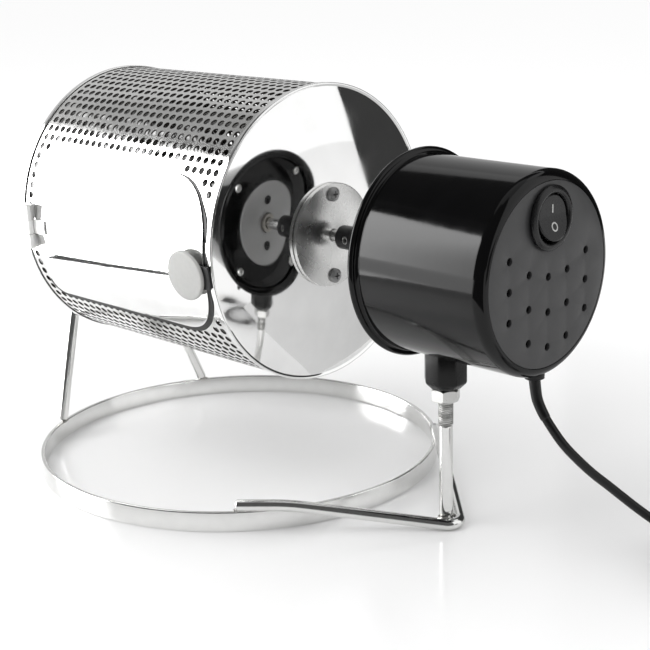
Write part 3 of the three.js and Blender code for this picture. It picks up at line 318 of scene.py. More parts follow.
# Finishes: colour, metallic, roughness, then the grain of the surface
def finish_of(name, colour, metallic, roughness, grain=180.0, spread=0.03, tint=0.06, relief=0.0,
              fine=900.0, streaks=None, **shader_values):
    finish, tree, shader = new_material(name)
    shader.inputs["Metallic"].default_value = metallic
    for label, value in shader_values.items():
        shader.inputs[label.replace("_", " ")].default_value = value
    place = add(tree, "ShaderNodeTexCoord").outputs["Object"]
    if streaks:
        place = add(tree, "ShaderNodeMapping", {"Vector": place, "Scale": streaks}).outputs["Vector"]
    cloud = add(tree, "ShaderNodeTexNoise", {"Vector": place, "Scale": grain, "Detail": 5.0}).outputs["Fac"]
    span = {"Value": cloud, "From Min": 0.3, "From Max": 0.7}
    share = add(tree, "ShaderNodeMapRange", span).outputs["Result"]
    tone = add(tree, "ShaderNodeMix", {0: share, 6: (*[c * (1 - tint) for c in colour], 1), 7: (*colour, 1)},
               data_type="RGBA")
    tree.links.new(tone.outputs[2], shader.inputs["Base Color"])
    low, high = max(roughness - spread, 0.02), roughness + spread
    gloss = add(tree, "ShaderNodeMapRange", {**span, "To Min": low, "To Max": high})
    tree.links.new(gloss.outputs["Result"], shader.inputs["Roughness"])
    if relief:
        height = add(tree, "ShaderNodeTexNoise", {"Vector": place, "Scale": fine, "Detail": 3.0})
        bump = add(tree, "ShaderNodeBump", {"Height": height.outputs["Fac"], "Strength": 0.5,
                                            "Distance": relief * MM})
        tree.links.new(bump.outputs["Normal"], shader.inputs["Normal"])
    return finish


mirror_steel = finish_of("mirror_steel", (0.90, 0.90, 0.895), 1.0, 0.05, grain=60, spread=0.02,
                         relief=0.01, fine=70.0)
drum_sheet = finish_of("perforated_sheet", (0.80, 0.80, 0.79), 1.0, 0.14, grain=140, relief=0.004,
                       fine=200.0)
roast_brown = finish_of("roast_darkened_steel", (0.035, 0.029, 0.025), 0.2, 0.6, grain=90, spread=0.1,
                        tint=0.5, relief=0.02, IOR=1.3)
rod_steel = finish_of("polished_rod", (0.78, 0.78, 0.77), 1.0, 0.13, grain=250, relief=0.01)
hoop_steel = finish_of("polished_bar", (0.85, 0.85, 0.84), 1.0, 0.13, grain=160, relief=0.01)
turned_steel = finish_of("turned_steel", (0.76, 0.76, 0.75), 1.0, 0.27, grain=120, spread=0.02)
knob_steel = finish_of("satin_knob", (0.43, 0.43, 0.42), 0.1, 0.6, grain=500, relief=0.01, IOR=1.35)
hinge_steel = finish_of("satin_hinge", (0.88, 0.88, 0.87), 0.45, 0.5, grain=500, relief=0.01)
shaft_steel = finish_of("ground_shaft", (0.72, 0.72, 0.71), 1.0, 0.22, grain=400, relief=0.006,
                        streaks=(6, 1, 1))
zinc_plate = finish_of("zinc_plate", (0.56, 0.56, 0.55), 1.0, 0.33, grain=500, spread=0.06, relief=0.01)
thread_zinc = finish_of("rolled_thread", (0.58, 0.58, 0.57), 1.0, 0.6, grain=500, tint=0.1)
weld_metal = finish_of("weld_metal", (0.55, 0.54, 0.52), 1.0, 0.36, grain=700, spread=0.12, tint=0.3,
                       relief=0.05, fine=500.0)
cast_grey = finish_of("cast_grey", (0.30, 0.30, 0.30), 0.7, 0.45, grain=350, spread=0.08, relief=0.03)
dark_steel = finish_of("black_oxide_steel", (0.035, 0.035, 0.036), 0.6, 0.34, grain=400, relief=0.01,
                       tint=0.3)
gloss_black = finish_of("gloss_black_plastic", (0.002, 0.002, 0.0022), 0.0, 0.09, grain=120, spread=0.02,
                        relief=0.02, fine=260.0, tint=0.2, IOR=1.33)
boss_black = finish_of("boss_black_plastic", (0.003, 0.003, 0.003), 0.0, 0.25, grain=300, relief=0.02,
                       tint=0.2, IOR=1.33)
satin_black = finish_of("satin_black_plastic", (0.034, 0.034, 0.035), 0.0, 0.42, grain=600, relief=0.03,
                        fine=1600.0, tint=0.12)
switch_black = finish_of("switch_plastic", (0.007, 0.007, 0.0075), 0.0, 0.26, grain=500, relief=0.01,
                         tint=0.2, IOR=1.4)
mark_white = finish_of("switch_mark", (0.45, 0.45, 0.44), 0.0, 0.5, grain=900, tint=0.1)
cord_black = finish_of("black_pvc", (0.004, 0.004, 0.0043), 0.0, 0.36, grain=500, spread=0.05,
                       relief=0.01, fine=1200.0, tint=0.25, IOR=1.38)
bronze = finish_of("sintered_bronze", (0.34, 0.325, 0.30), 1.0, 0.42, grain=800, relief=0.02, tint=0.25)
nickel_pin = finish_of("nickel_pin", (0.70, 0.66, 0.56), 1.0, 0.24, grain=500, relief=0.006)
copper_wire = finish_of("copper_wire", (0.66, 0.27, 0.12), 1.0, 0.35, grain=1500, relief=0.05, tint=0.3,
                        streaks=(8, 1, 1))
nylon = finish_of("nylon", (0.78, 0.76, 0.68), 0.0, 0.45, grain=400, relief=0.01, Subsurface_Weight=0.1)
magnet_black = finish_of("ferrite", (0.03, 0.03, 0.03), 0.2, 0.5, grain=900, relief=0.02, tint=0.3)


# Cord: out of the strain relief, down to the table, into its coil, up to the plug
COIL_R, COIL_HALF, COIL_PITCH, COIL_LIFT, COIL_TURNS = 26.0, 5.0, 5.0, 1.1, 8
COIL_CENTRE = Vector((234.3, 42.5, 0.0))
PLUG_PLACE, PLUG_HEADING = Vector((265.0, 69.8, 7.15)), radians(-42)
RELIEF_LENGTH, COLLAR_LENGTH, COLLAR_R = 23, 3.0, 4.75


def coil_point(turns):
    layer = min(int(turns // 2), 3)
    share = turns / 2 - layer
    radius = COIL_R + COIL_HALF - 2 * COIL_HALF * (share if layer % 2 == 0 else 1 - share)
    angle = radians(130) - turns * TURN
    climb = 0.0
    for i in (1, 2, 3):
        along = min(max(2 * (turns - 2 * i) + 0.5, 0), 1)
        climb += along * along * (3 - 2 * along)
    height = COIL_LIFT + CORD_R + climb * COIL_PITCH
    return Vector((radius * cos(angle), radius * sin(angle), height)) + COIL_CENTRE


def cord_route():
    lead_in = [(141, 0, 92), (141.3, 0, 87), (142.2, 0, 82.4), (143.8, 0.1, 78.2), (146.6, 0.4, 73.4),
               (150.2, 1.2, 68.2), (155.2, 3.9, 60.2), (159.9, 8.6, 52.6), (164.6, 15.2, 44.4),
               (168.9, 22.0, 37.4), (173.2, 28.6, 30.4), (178.2, 35, 23.4), (184, 41.2, 16.8),
               (190, 47, 11.2), (196, 52.4, 6.9), (201.6, 57.3, 4.3), (206.4, 61.3, 3.4)]
    lead_out = [(221.5, 74.4, 18.3), (227.6, 79.6, 17.3), (235.4, 83, 15.2), (244, 83.2, 12.6),
                (251.8, 80.4, 10), (258.4, 75.5, 8.2)]
    coil = [coil_point(i / 24) for i in range(COIL_TURNS * 24 + 1)]
    heading = Vector((cos(PLUG_HEADING), sin(PLUG_HEADING), 0))
    return smooth_line(lead_in + coil + lead_out + [PLUG_PLACE, PLUG_PLACE + 10 * heading], steps=3)


cord_line = cord_route()


def make_cord():
    cord = plain_object("mains_cord", swept(cord_line, CORD_R, sides=12), cord_black)
    return fit(cord, "stand", "supply_cord", "supply_cord_coil", "supply_cord_tail", slot="black_pvc")


def make_relief():
    line = smooth_line([(RELIEF_X, 0, 93.6), (RELIEF_X, 0, 90)] + [tuple(p) for p in cord_line[6:24:3]],
                       steps=5)
    lengths = [0.0]
    for a, b in zip(line, line[1:]):
        lengths.append(lengths[-1] + (b - a).length)
    lengths = [length for length in lengths if length < RELIEF_LENGTH]
    radii = [COLLAR_R if length < COLLAR_LENGTH else 2.9 - 0.4 * length / RELIEF_LENGTH for length in lengths]
    relief = plain_object("strain_relief", swept(line[:len(radii)], radii, sides=24), cord_black)
    return fit(relief, "stand", "cord_strain_relief", slot="black_pvc")


def make_plug():
    points, faces, sides = [], [], 48
    sections = [(0, 2.7, 2.7, 2.0), (1, 3.0, 3.0, 2.0), (14, 3.9, 3.9, 2.0), (20, 4.4, 4.4, 2.0),
                (23, 6.2, 5.0, 2.2), (27, 10.2, 6.2, 2.6), (31, 12.4, 6.75, 3.2), (36, 13, 6.85, 3.8),
                (53.6, 13, 6.85, 3.8), (54.7, 12.5, 6.4, 3.8), (55, 11.8, 5.8, 3.8)]
    line = smooth_line([(along, wide, high) for along, wide, high, _ in sections], steps=3)
    for k, (along, wide, high) in enumerate(line):
        power = 2 / sections[min(k // 3, len(sections) - 1)][3]
        for c, s in circle(1.0, sides):
            points.append((along, wide * copysign(abs(c) ** power, c), high * copysign(abs(s) ** power, s)))
        if k:
            faces += between((k - 1) * sides, k * sides, sides)
    faces += lids(sides, len(points) - sides)
    place = Matrix.Translation(PLUG_PLACE) @ Matrix.Rotation(PLUG_HEADING, 4, "Z")
    plug = piece("mains_plug", moved((points, faces), place), cord_black, "stand", "plug_body",
                 slot="black_pvc")
    pin = turned(bar(54, 74.2, 2, 1.2, steps=4), 32)
    both = [moved(pin, place @ Matrix.Translation((0, y, 0))) for y in (9.5, -9.5)]
    pins = piece("plug_pins", joined(*both), nickel_pin, "stand", "plug_pin_1", "plug_pin_2", slot="bronze")
    return plug, pins


def make_tie():
    inner, outer, low, high = COIL_R - 7.55, COIL_R + 7.55, 0.8, 20.65
    thickness, half_width = 0.8, 4.5
    ring = eased([(inner, low), (outer, low), (outer, high), (inner, high)], 3.0, steps=5, loop=True)
    centre = Vector(((inner + outer) / 2, (low + high) / 2))
    outside = [Vector(p) + (Vector(p) - centre).normalized() * thickness for p in ring]
    outside = [(x, max(z, 0.1)) for x, z in outside]
    count, points, faces = len(ring), [], []
    for y in (-half_width, half_width):
        points += [(x, y, z) for x, z in ring + outside]
    for first, second in ((0, count), (3 * count, 2 * count), (2 * count, 0), (count, 3 * count)):
        faces += between(first, second, count)
    place = Matrix.Translation(COIL_CENTRE) @ Matrix.Rotation(pi, 4, "Z")
    tie = plain_object("coil_tie_strap", moved((points, faces), place), cord_black)
    bevelled(tie, 0.2)
    return fit(tie, "stand", "coil_tie", slot="black_pvc")


cord = make_cord()
cord_pieces = [make_relief(), *make_plug(), make_tie()]
# Nothing mirrors the lead past its strain relief, so that its coil stays out of sight
for unseen in (cord, *cord_pieces[1:]):
    unseen.visible_glossy = False


# Trees for what repeats
def geo(tree, kind, inputs=None, **settings):
    """A geometry node, given by its first output."""
    return add(tree, "GeometryNode" + kind, inputs, **settings).outputs[0]


def new_tree(name, *sizes, **others):
    tree = bpy.data.node_groups.new(name, "GeometryNodeTree")
    tree.interface.new_socket("Geometry", in_out="OUTPUT", socket_type="NodeSocketGeometry")
    kinds = {"Places": "Geometry", **dict.fromkeys(sizes, "Float"), **others, "Finish": "Material"}
    for label, kind in kinds.items():
        tree.interface.new_socket(label, in_out="INPUT", socket_type="NodeSocket" + kind)
    return tree, add(tree, "NodeGroupInput").outputs, add(tree, "NodeGroupOutput").inputs


def finish_tree(tree, given, result, geometry):
    real = geo(tree, "RealizeInstances", {0: geometry})
    dressed = geo(tree, "SetMaterial", {"Geometry": real, "Material": given["Finish"]})
    tree.links.new(dressed, result[0])
    return tree


def merged(tree, *parts):
    both = add(tree, "GeometryNodeJoinGeometry")
    for part in parts:
        tree.links.new(part, both.inputs[0])
    return both.outputs[0]


def laid(tree, given, shape, **more):
    return geo(tree, "InstanceOnPoints", {"Points": given["Places"], "Instance": shape, **more})


def ring_of(tree, radius, resolution):
    return geo(tree, "CurvePrimitiveCircle", {"Resolution": resolution, "Radius": radius})


def grown(name, places, tree, sizes, attributes=None):
    mesh = bpy.data.meshes.new(name)
    mesh.from_pydata(places, [], [])
    for label, values in (attributes or {}).items():
        mesh.attributes.new(label, "FLOAT", "POINT").data.foreach_set("value", values)
    thing = put(name, mesh)
    grow = thing.modifiers.new("grow", "NODES")
    grow.node_group = tree
    for item in tree.interface.items_tree:
        if item.in_out == "INPUT" and item.name in sizes:
            grow[item.identifier] = sizes[item.name]
    settle(thing)
    return thing


def calculate(tree, operation, first, second=0.0):
    return add(tree, "ShaderNodeMath", {0: first, 1: second}, operation=operation).outputs[0]


def vector(tree, x=0.0, y=0.0, z=0.0):
    return add(tree, "ShaderNodeCombineXYZ", {0: x, 1: y, 2: z}).outputs[0]


# Perforated mantle: flat cells, holed or plain, wrapped round the drum's axis
PITCH, ROWS, ROW_PITCH, COLUMNS, FIRST_COLUMN, HOLE, PLAIN_EDGE = 5.5, 86, 5.7, 28, -5.2, 4.0, 1.6
DOOR_NEAR, DOOR_FAR, DOOR_HALF, NEAR_CORNER, FAR_CORNER, DOOR_TURN = -4.0, -148.0, 42.0, 30.0, 8.0, 2.0
DOOR_R, DOOR_REBATE = 78.3, 5.0
# Heights over the mantle and far end of the dark strip of painted shade beside the door's edge
SHADE_STRIP_LOW, SHADE_STRIP_HIGH, SHADE_STRIP_END = 78.05, 78.45, -36


def door_shape(inset):
    return (DOOR_NEAR - inset, DOOR_FAR + inset, DOOR_HALF - inset, NEAR_CORNER - inset,
            max(FAR_CORNER - inset, 0.5))


def door_half_width(x, inset=0.0):
    near, far, half, near_corner, far_corner = door_shape(inset)
    if not far <= x <= near:
        return 0.0
    if x > near - near_corner:
        return half - near_corner + sqrt(max(near_corner ** 2 - (x - near + near_corner) ** 2, 0))
    if x < far + far_corner:
        return half - far_corner + sqrt(max(far_corner ** 2 - (far + far_corner - x) ** 2, 0))
    return half


def door_stations(inset=0.0, near_steps=24, far_steps=10, middle_steps=12):
    near, far, _, near_corner, far_corner = door_shape(inset)
    start, end = near - near_corner, far + far_corner
    stations = [x for x, _ in arc(start, 0, near_corner, 0, 90, near_steps)[:-1]]
    stations += [start + (end - start) * i / middle_steps for i in range(middle_steps)]
    return stations + [x for x, _ in arc(end, 0, far_corner, 90, 180, far_steps)]


def over_drum(x, length, radius):
    """A point at a length of arc from the door's middle line, before the door is turned to its place."""
    angle = length / DRUM_R
    return x, -radius * cos(angle), radius * sin(angle)


def at_door(shape):
    return along_axis(moved(shape, Matrix.Rotation(radians(DOOR_TURN), 4, "X")))


def mantle_tree():
    tree, given, result = new_tree("perforated_sheet", "Pitch", "Row Pitch", "Hole Radius", "Radius", "Rows",
                                   "Axis Height", "Middle")
    square = geo(tree, "CurvePrimitiveQuadrilateral", {"Width": given["Pitch"], "Height": given["Row Pitch"]})
    hole = ring_of(tree, given["Hole Radius"], 14)
    holed = geo(tree, "FillCurve", {"Curve": merged(tree, square, hole)})
    plain = geo(tree, "FillCurve", {"Curve": square})
    chosen = geo(tree, "InputNamedAttribute", {"Name": "holed"}, data_type="FLOAT")
    span = geo(tree, "InputNamedAttribute", {"Name": "span"}, data_type="FLOAT")
    is_holed = calculate(tree, "GREATER_THAN", chosen, 0.5)
    is_plain = calculate(tree, "SUBTRACT", 1.0, is_holed)
    cells = merged(tree, laid(tree, given, holed, Selection=is_holed),
                   laid(tree, given, plain, Selection=is_plain, Scale=vector(tree, span, 1.0, 1.0)))
    flat = geo(tree, "RealizeInstances", {0: cells})
    place = add(tree, "ShaderNodeSeparateXYZ", {0: geo(tree, "InputPosition")}).outputs
    round_length = calculate(tree, "MULTIPLY", given["Rows"], given["Row Pitch"])
    angle = calculate(tree, "MULTIPLY", calculate(tree, "DIVIDE", place[1], round_length), TURN)
    across = calculate(tree, "MULTIPLY", calculate(tree, "COSINE", angle), given["Radius"])
    rise = calculate(tree, "MULTIPLY", calculate(tree, "SINE", angle), given["Radius"])
    wrapped = vector(tree, calculate(tree, "ADD", place[0], given["Middle"]),
                     calculate(tree, "MULTIPLY", across, -1.0),
                     calculate(tree, "ADD", rise, given["Axis Height"]))
    bent = geo(tree, "SetPosition", {"Geometry": flat, "Position": wrapped})
    shut = geo(tree, "MergeByDistance", {"Geometry": bent, "Distance": 2e-5})
    return finish_tree(tree, given, result, shut)


def mantle_places():
    near_margin = -FIRST_COLUMN - PITCH / 2
    far_margin = DRUM_LENGTH + FIRST_COLUMN - (COLUMNS - 0.5) * PITCH
    columns = [(-near_margin / 2, near_margin, False)]
    columns += [(FIRST_COLUMN - k * PITCH, PITCH, True) for k in range(COLUMNS)]
    columns.append((-DRUM_LENGTH + far_margin / 2, far_margin, False))
    clear = HOLE / 2 + PLAIN_EDGE
    places, holed, span = [], [], []
    for x, width, open_column in columns:
        for row in range(ROWS):
            y = (row + 0.5 - ROWS / 2) * ROW_PITCH
            length = y * TURN * DRUM_R / (ROWS * ROW_PITCH) + radians(DOOR_TURN) * DRUM_R
            beside = any(abs(length + b) < door_half_width(x + a) for a in (-clear, 0, clear)
                         for b in (-clear, 0, clear))
            places.append((x * MM, y * MM, 0))
            holed.append(1.0 if open_column and not beside else 0.0)
            span.append(width / PITCH)
    return places, {"holed": holed, "span": span}


def door_opening():
    edge = [(x, door_half_width(x, DOOR_REBATE)) for x in door_stations(DOOR_REBATE)]
    edge += [(x, -length) for x, length in edge[::-1]]
    return at_door(prism(*[[over_drum(x, length, radius) for x, length in edge] for radius in (60.0, 90.0)]))


def round_normals(mesh):
    normals = []
    for face in mesh.polygons:
        for index in face.loop_indices:
            place = mesh.vertices[mesh.loops[index].vertex_index].co
            out = Vector((0, place.y, place.z - AXIS * MM)).normalized()
            side = face.normal.dot(out)
            normals.append(out if side > 0.7 else -out if side < -0.7 else face.normal.copy())
    mesh.normals_split_custom_set(normals)


def make_mantle():
    places, attributes = mantle_places()
    sizes = {"Pitch": PITCH * MM, "Row Pitch": ROW_PITCH * MM, "Hole Radius": HOLE / 2 * MM,
             "Radius": DRUM_R * MM, "Rows": float(ROWS), "Axis Height": AXIS * MM, "Middle": MIDDLE * MM,
             "Finish": drum_sheet}
    mantle = grown("drum_sheet", places, mantle_tree(), sizes, attributes)
    mantle.data.materials.clear()
    mantle.data.materials.append(drum_sheet)
    mantle.data.materials.append(roast_brown)
    thickened(mantle, -1, inner_finish=1)
    cut_away(mantle, door_opening(), solver="MANIFOLD")
    mantle.data.shade_smooth()
    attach(mantle, "drum")
    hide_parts("drum_mantle")
    round_normals(mantle.data)


def cap_profile():
    dome = [(CAP_FRONT - 5.5 * (k / 30) ** 2, FLANGE_R + (CAP_EDGE_R - FLANGE_R) * k / 30) for k in range(31)]
    bead = eased([(1.1, CAP_EDGE_R), (1.7, 77.9), (1.7, 78.8), (-1.1, 78.8), (-1.1, 78.3), (0.3, 78.3),
                  (0.3, CAP_EDGE_R)], 0.8, steps=5)
    inside = [(x - SHEET, r) for x, r in dome[:-1][::-1]]
    return [(CAP_FRONT, 3.3)] + dome + bead[1:] + inside + [(CAP_FRONT - SHEET, 3.3)]


def make_caps():
    for end, place in (("motor", Matrix()), ("far", AT_FAR_END)):
        turned_piece(f"drum_end_{end}", cap_profile(), 160, mirror_steel, "drum", f"drum_cap_{end}_end",
                     "polished_steel", place)


def make_door():
    points, faces, across = [], [], 56
    stations = door_stations()
    for x in stations:
        half = door_half_width(x)
        points += [over_drum(x, half * (2 * j / across - 1), DOOR_R) for j in range(across + 1)]
    for i in range(len(stations) - 1):
        for j in range(across):
            a = i * (across + 1) + j
            faces.append((a, a + 1, a + across + 2, a + across + 1))
    door = plain_object("door_panel", at_door((points, faces)), mirror_steel)
    if door.data.polygons[len(door.data.polygons) // 2].normal.y > 0:
        door.data.flip_normals()
    thickened(door, 1)
    bevelled(door, 0.25, angle=50)
    fit(door, "door", "drum_door", slot="polished_steel")


def ramp(x, start, length):
    return min(1.0, max(0.0, (x - start) / length))


# The door's strip is painted shade: a black band on the mantle where the door's lower and near edges shade
# the gap. It is widest at the lower edge, and the upper edge has none.
def shade_strip_width(x, side):
    if side > 0:
        return 0.1 + 1.1 * ramp(x, SHADE_STRIP_END, 14) + 1.3 * ramp(x, -9, 4)
    return 3.6 - 1.1 * ramp(x, -30, 20)


def make_door_shade_strip():
    lower = [(x, -door_half_width(x)) for x in door_stations()[::-1]]
    upper = [(x, door_half_width(x)) for x in door_stations() if x > SHADE_STRIP_END]
    line = [Vector(p) for p in lower + upper[1:]]
    points, faces = [], []
    for i, here in enumerate(line):
        ahead = line[min(i + 1, len(line) - 1)] - line[max(i - 1, 0)]
        out = Vector((ahead.y, -ahead.x)).normalized()
        wide = here + out * shade_strip_width(*here)
        section = (here, SHADE_STRIP_LOW), (wide, SHADE_STRIP_LOW), (wide, SHADE_STRIP_HIGH), (here, SHADE_STRIP_HIGH)
        points += [over_drum(*place, radius) for place, radius in section]
        if i:
            faces += between(4 * i - 4, 4 * i, 4)
    faces += lids(4, len(points) - 4)
    piece("door_seal", at_door((points, faces)), cord_black, "drum")


def make_latch():
    place_x, place_turn = -15, 7
    knob, stem = turned(bar(80.6, 83.0, 13, 0.9, steps=5), 96), turned(bar(76.4, 81.5, 2.5, 0.4), 32)
    knob = out_of_drum(joined(standing(knob, 0), standing(stem, 0)), place_x, place_turn)
    piece("knob", knob, knob_steel, "latch", "latch_knob", slot="bright_steel")
    eye = arc(0, 0, 6, 60, 300, 32)
    outline = eye[1:-1] + eased([eye[-1], (4, -6), (16.5, -6), (16.5, 6), (4, 6), eye[0]], 1.6, steps=5)
    tongue = prism(*[[(x, y, height) for x, y in outline] for height in (79.4, 80.55)])
    tongue = plain_object("tongue", out_of_drum(tongue, place_x, place_turn), dark_steel)
    bevelled(tongue, 0.2)
    fit(tongue, "latch", "latch_tongue", slot="dark_steel")


make_mantle()
make_caps()
make_door()
make_door_shade_strip()
make_latch()


# Drive: flange, shafts, sleeve and the far axle
def screw_tree():
    tree, given, result = new_tree("screws", Screw="Object")
    model = add(tree, "GeometryNodeObjectInfo", {"Object": given["Screw"]}, transform_space="ORIGINAL")
    return finish_tree(tree, given, result, laid(tree, given, model.outputs["Geometry"]))


screws_on_points = screw_tree()


def cross_screw(head_diameter, head_height, shank_diameter, shank_length, facing):
    """A pan head with a cross recess; its seat is at zero and its head points along +X or -X."""
    r, h, s = head_diameter / 2, head_height, shank_diameter / 2
    at_zero = Matrix.Translation((-MIDDLE, 0, 0))
    dome = [(h * 0.45 + 0.55 * x, y * r / h) for x, y in arc(0, 0, h, 0, 90, 8)]
    profile = dome + [(0, r), (0, s), (-shank_length, s), (-shank_length, 0)]
    screw = plain_object("screw", moved(turned(profile, 40), at_zero))
    narrow, long = head_diameter * 0.065, head_diameter * 0.26
    for w, t in ((narrow, long), (long, narrow)):
        blade = prism(*[[(x, y * k, z * k) for y, z in ((-w, -t), (w, -t), (w, t), (-w, t))]
                        for x, k in ((h * 0.25, 0.55), (h * 1.4, 1.1))])
        cut_away(screw, moved(blade, at_zero))
    if facing < 0:
        screw.data.transform(Matrix.Rotation(pi, 4, "Z"))
    return screw


def lay_screws(name, screw, places, finish):
    rows = grown(name, [metres(p) for p in places], screws_on_points, {"Screw": screw, "Finish": finish})
    bpy.data.objects.remove(screw)
    return rows


def make_drive():
    turned_piece("flange_disc", bar(FLANGE_BACK, FLANGE_FRONT, FLANGE_R, 0.45, inner=3.15), 128, turned_steel,
                 "drum", "drive_flange", "bright_steel")
    places = [(FLANGE_FRONT + 0.05, 0, AXIS + 21.8), (FLANGE_FRONT + 0.05, 0, AXIS - 21.8)]
    screws = lay_screws("flange_screws", cross_screw(7.6, 2.3, 4, 7, 1), places, cast_grey)
    fit(screws, "drum", "drive_flange_screw_1", "drive_flange_screw_2", slot="zinc")
    turned_piece("drum_shaft", bar(-1.5, 22, SHAFT_R, 0.5), 48, shaft_steel, "drum", "drive_shaft",
                 "bright_steel")
    sleeve = eased([(16, 3.1), (16, 6.25), (48, 6.25), (48, 3.6), (30.5, 3.6), (29.5, 3.1)], 0.6, loop=True)
    body = plain_object("sleeve", along_axis(turned(sleeve, 64, loop=True)), dark_steel)
    hole = standing(turned([(4.6, 0), (4.6, 2.15), (9, 2.15), (9, 0)], 32), 0)
    grub = eased([(3.1, 0), (3.1, 2.05), (5.9, 2.05), (5.9, 1.15), (4.4, 1.0), (4.2, 0)], 0.15)
    grub = standing(turned(grub, 24), 0)
    set_screws_x = (23, 41)
    cut_away(body, *[out_of_drum(hole, x) for x in set_screws_x])
    fit(body, "drum", "coupling_sleeve", slot="dark_steel")
    grubs = plain_object("grub_screws", joined(*[out_of_drum(grub, x) for x in set_screws_x]), zinc_plate)
    fit(grubs, "drum", "coupling_set_screw_1", "coupling_set_screw_2", slot="zinc")
    turned_piece("gearmotor_shaft", bar(30.2, 82.4, 3.5, 0.5), 48, shaft_steel, "drum", "output_shaft",
                 "bright_steel")
    axle = eased([(-1.5, 0), (-1.5, SHAFT_R), (FLANGE_BACK, SHAFT_R), (FLANGE_BACK, FLANGE_R),
                  (FLANGE_FRONT, FLANGE_R), (FLANGE_FRONT, SHAFT_R), (42, SHAFT_R), (42, 0)], 0.45)
    turned_piece("far_axle_and_flange", axle, 96, turned_steel, "drum", "far_axle", "bright_steel",
                 place=AT_FAR_END)


make_drive()


# Stand
def around_pin(centre, radius, across, away, end_across, end_back, lift, steps=28):
    lean = atan2(end_across, end_back)
    wrap = acos(radius / hypot(end_across, end_back))
    first = pi - lean - wrap
    foot = [centre + side * end_across * across - end_back * away + lift for side in (-1, 1)]
    bend = []
    for i in range(-steps, steps + 1):
        a = first * i / steps
        bend.append(centre + radius * sin(a) * across + radius * cos(a) * away)
    return foot[0], bend, foot[1]


def knee(foot, bend):
    return foot + 26 * Vector((bend.x - foot.x, bend.y - foot.y, 0)).normalized()


def make_stand():
    rim = bar(0, RING_HEIGHT, RING_R + RING_BAR / 2, 0.7, inner=RING_R - RING_BAR / 2)
    hoop = standing(turned(rim, 240, loop=True), RING_X)
    piece("hoop", hoop, hoop_steel, "stand", "base_ring", slot="polished_steel")
    across, ahead, up = Vector((0, 1, 0)), Vector((1, 0, 0)), Vector((0, 0, 1))
    low, bend, high = around_pin(Vector((POST_X, 0, ROD_R)), HAIRPIN_PIN_R, across, ahead, HAIRPIN_Y,
                                 POST_X - HAIRPIN_X, Vector((0, 0, ON_RING)))
    line = [low, knee(low, bend[0])] + bend + [knee(high, bend[-1]), high]
    piece("hairpin_rod", swept(eased(line, 9, steps=6), ROD_R, sides=28), rod_steel, "stand",
          "hairpin_support", slot="polished_steel")
    foot_rise = ON_RING + ROD_R * sin(FAR_FOOT)
    foot_x, foot_y = RING_X - RING_R * cos(FAR_FOOT), RING_R * sin(FAR_FOOT)
    low, bend, high = around_pin(Vector((BEARING_X, 0, AXIS)), 9.0, across, up, foot_y, AXIS - foot_rise,
                                 Vector((foot_x - BEARING_X, 0, 0)))
    piece("far_rod", swept([low] + bend + [high], ROD_R, sides=28), rod_steel, "stand", "far_support",
          slot="polished_steel")
    ends = BEARING_X - BEARING_HALF, BEARING_X + BEARING_HALF
    turned_piece("bearing_tube", bar(*ends, BEARING_R, 0.4, inner=BUSH_R), 64, rod_steel, "stand",
                 "far_bearing_tube", "bright_steel")
    turned_piece("bearing_bush", bar(*ends, BUSH_R, 0.3, inner=3.3), 64, bronze, "stand",
                 "far_bearing_bush", "bronze")


def thread_tree():
    tree, given, result = new_tree("thread", "Radius", "Height", "Turns", "Ridge", "Lift", "Ahead")
    spiral = geo(tree, "CurveSpiral", {"Resolution": 24, "Rotations": given["Turns"],
                                       "Height": given["Height"], "Start Radius": given["Radius"],
                                       "End Radius": given["Radius"]})
    ridge = ring_of(tree, given["Ridge"], 4)
    wound = geo(tree, "CurveToMesh", {"Curve": spiral, "Profile Curve": ridge, "Fill Caps": True})
    place = vector(tree, given["Ahead"], 0.0, given["Lift"])
    raised = geo(tree, "Transform", {"Geometry": wound, "Translation": place})
    return finish_tree(tree, given, result, raised)


def make_nut():
    flats, height, bore, steps, chamfer = 6.5, 6.3, 3.9, 96, 0.5
    rim = flats * 0.97
    points, faces = [], []
    for i in range(steps):
        a = TURN * i / steps
        hexagon = flats / cos((a % (pi / 3)) - pi / 6)
        corner = (hexagon - rim) * tan(radians(30))
        for z, r in ((0, bore + chamfer), (0, rim), (corner, hexagon), (height - corner, hexagon),
                     (height, rim), (height, bore + chamfer), (height - chamfer, bore), (chamfer, bore)):
            points.append((r * cos(a) + POST_X, r * sin(a), z + NUT_LOW))
    for i in range(steps):
        j = (i + 1) % steps
        faces += [(8 * i + k, 8 * j + k, 8 * j + (k + 1) % 8, 8 * i + (k + 1) % 8) for k in range(8)]
    piece("lock_nut", (points, faces), zinc_plate, "stand", "post_lock_nut", slot="zinc", sharp=20)


def make_post():
    rod = eased([(0.3, 0), (0.3, POST_R), (53.9, POST_R), (54.9, 3.4), (84.6, 3.4), (84.6, 0)], 0.5)
    piece("post", standing(turned(rod, 48), POST_X), rod_steel, "stand", "motor_post", slot="polished_steel")
    sizes = {"Radius": 3.5 * MM, "Height": 24.5 * MM, "Turns": 24.5, "Ridge": 0.45 * MM, "Lift": 54.7 * MM,
             "Ahead": (POST_X + MIDDLE) * MM, "Finish": thread_zinc}
    fit(grown("post_thread", [(0, 0, 0)], thread_tree(), sizes), "stand", slot="zinc", sharp=25)


def make_boss():
    boss = [(0, 4.4), (0, 7.7), (3.5, 11.2), (20.0, 11.2), (20.0, 4.4)]
    eight = moved(turned(boss, 8, loop=True), Matrix.Rotation(pi / 8, 4, "X"))
    socket = plain_object("post_boss", standing(eight, POST_X, BOSS_LOW), boss_black)
    bevelled(socket, 0.7, segments=3, angle=20)
    fit(socket, "stand", "post_socket", slot="gloss_black")


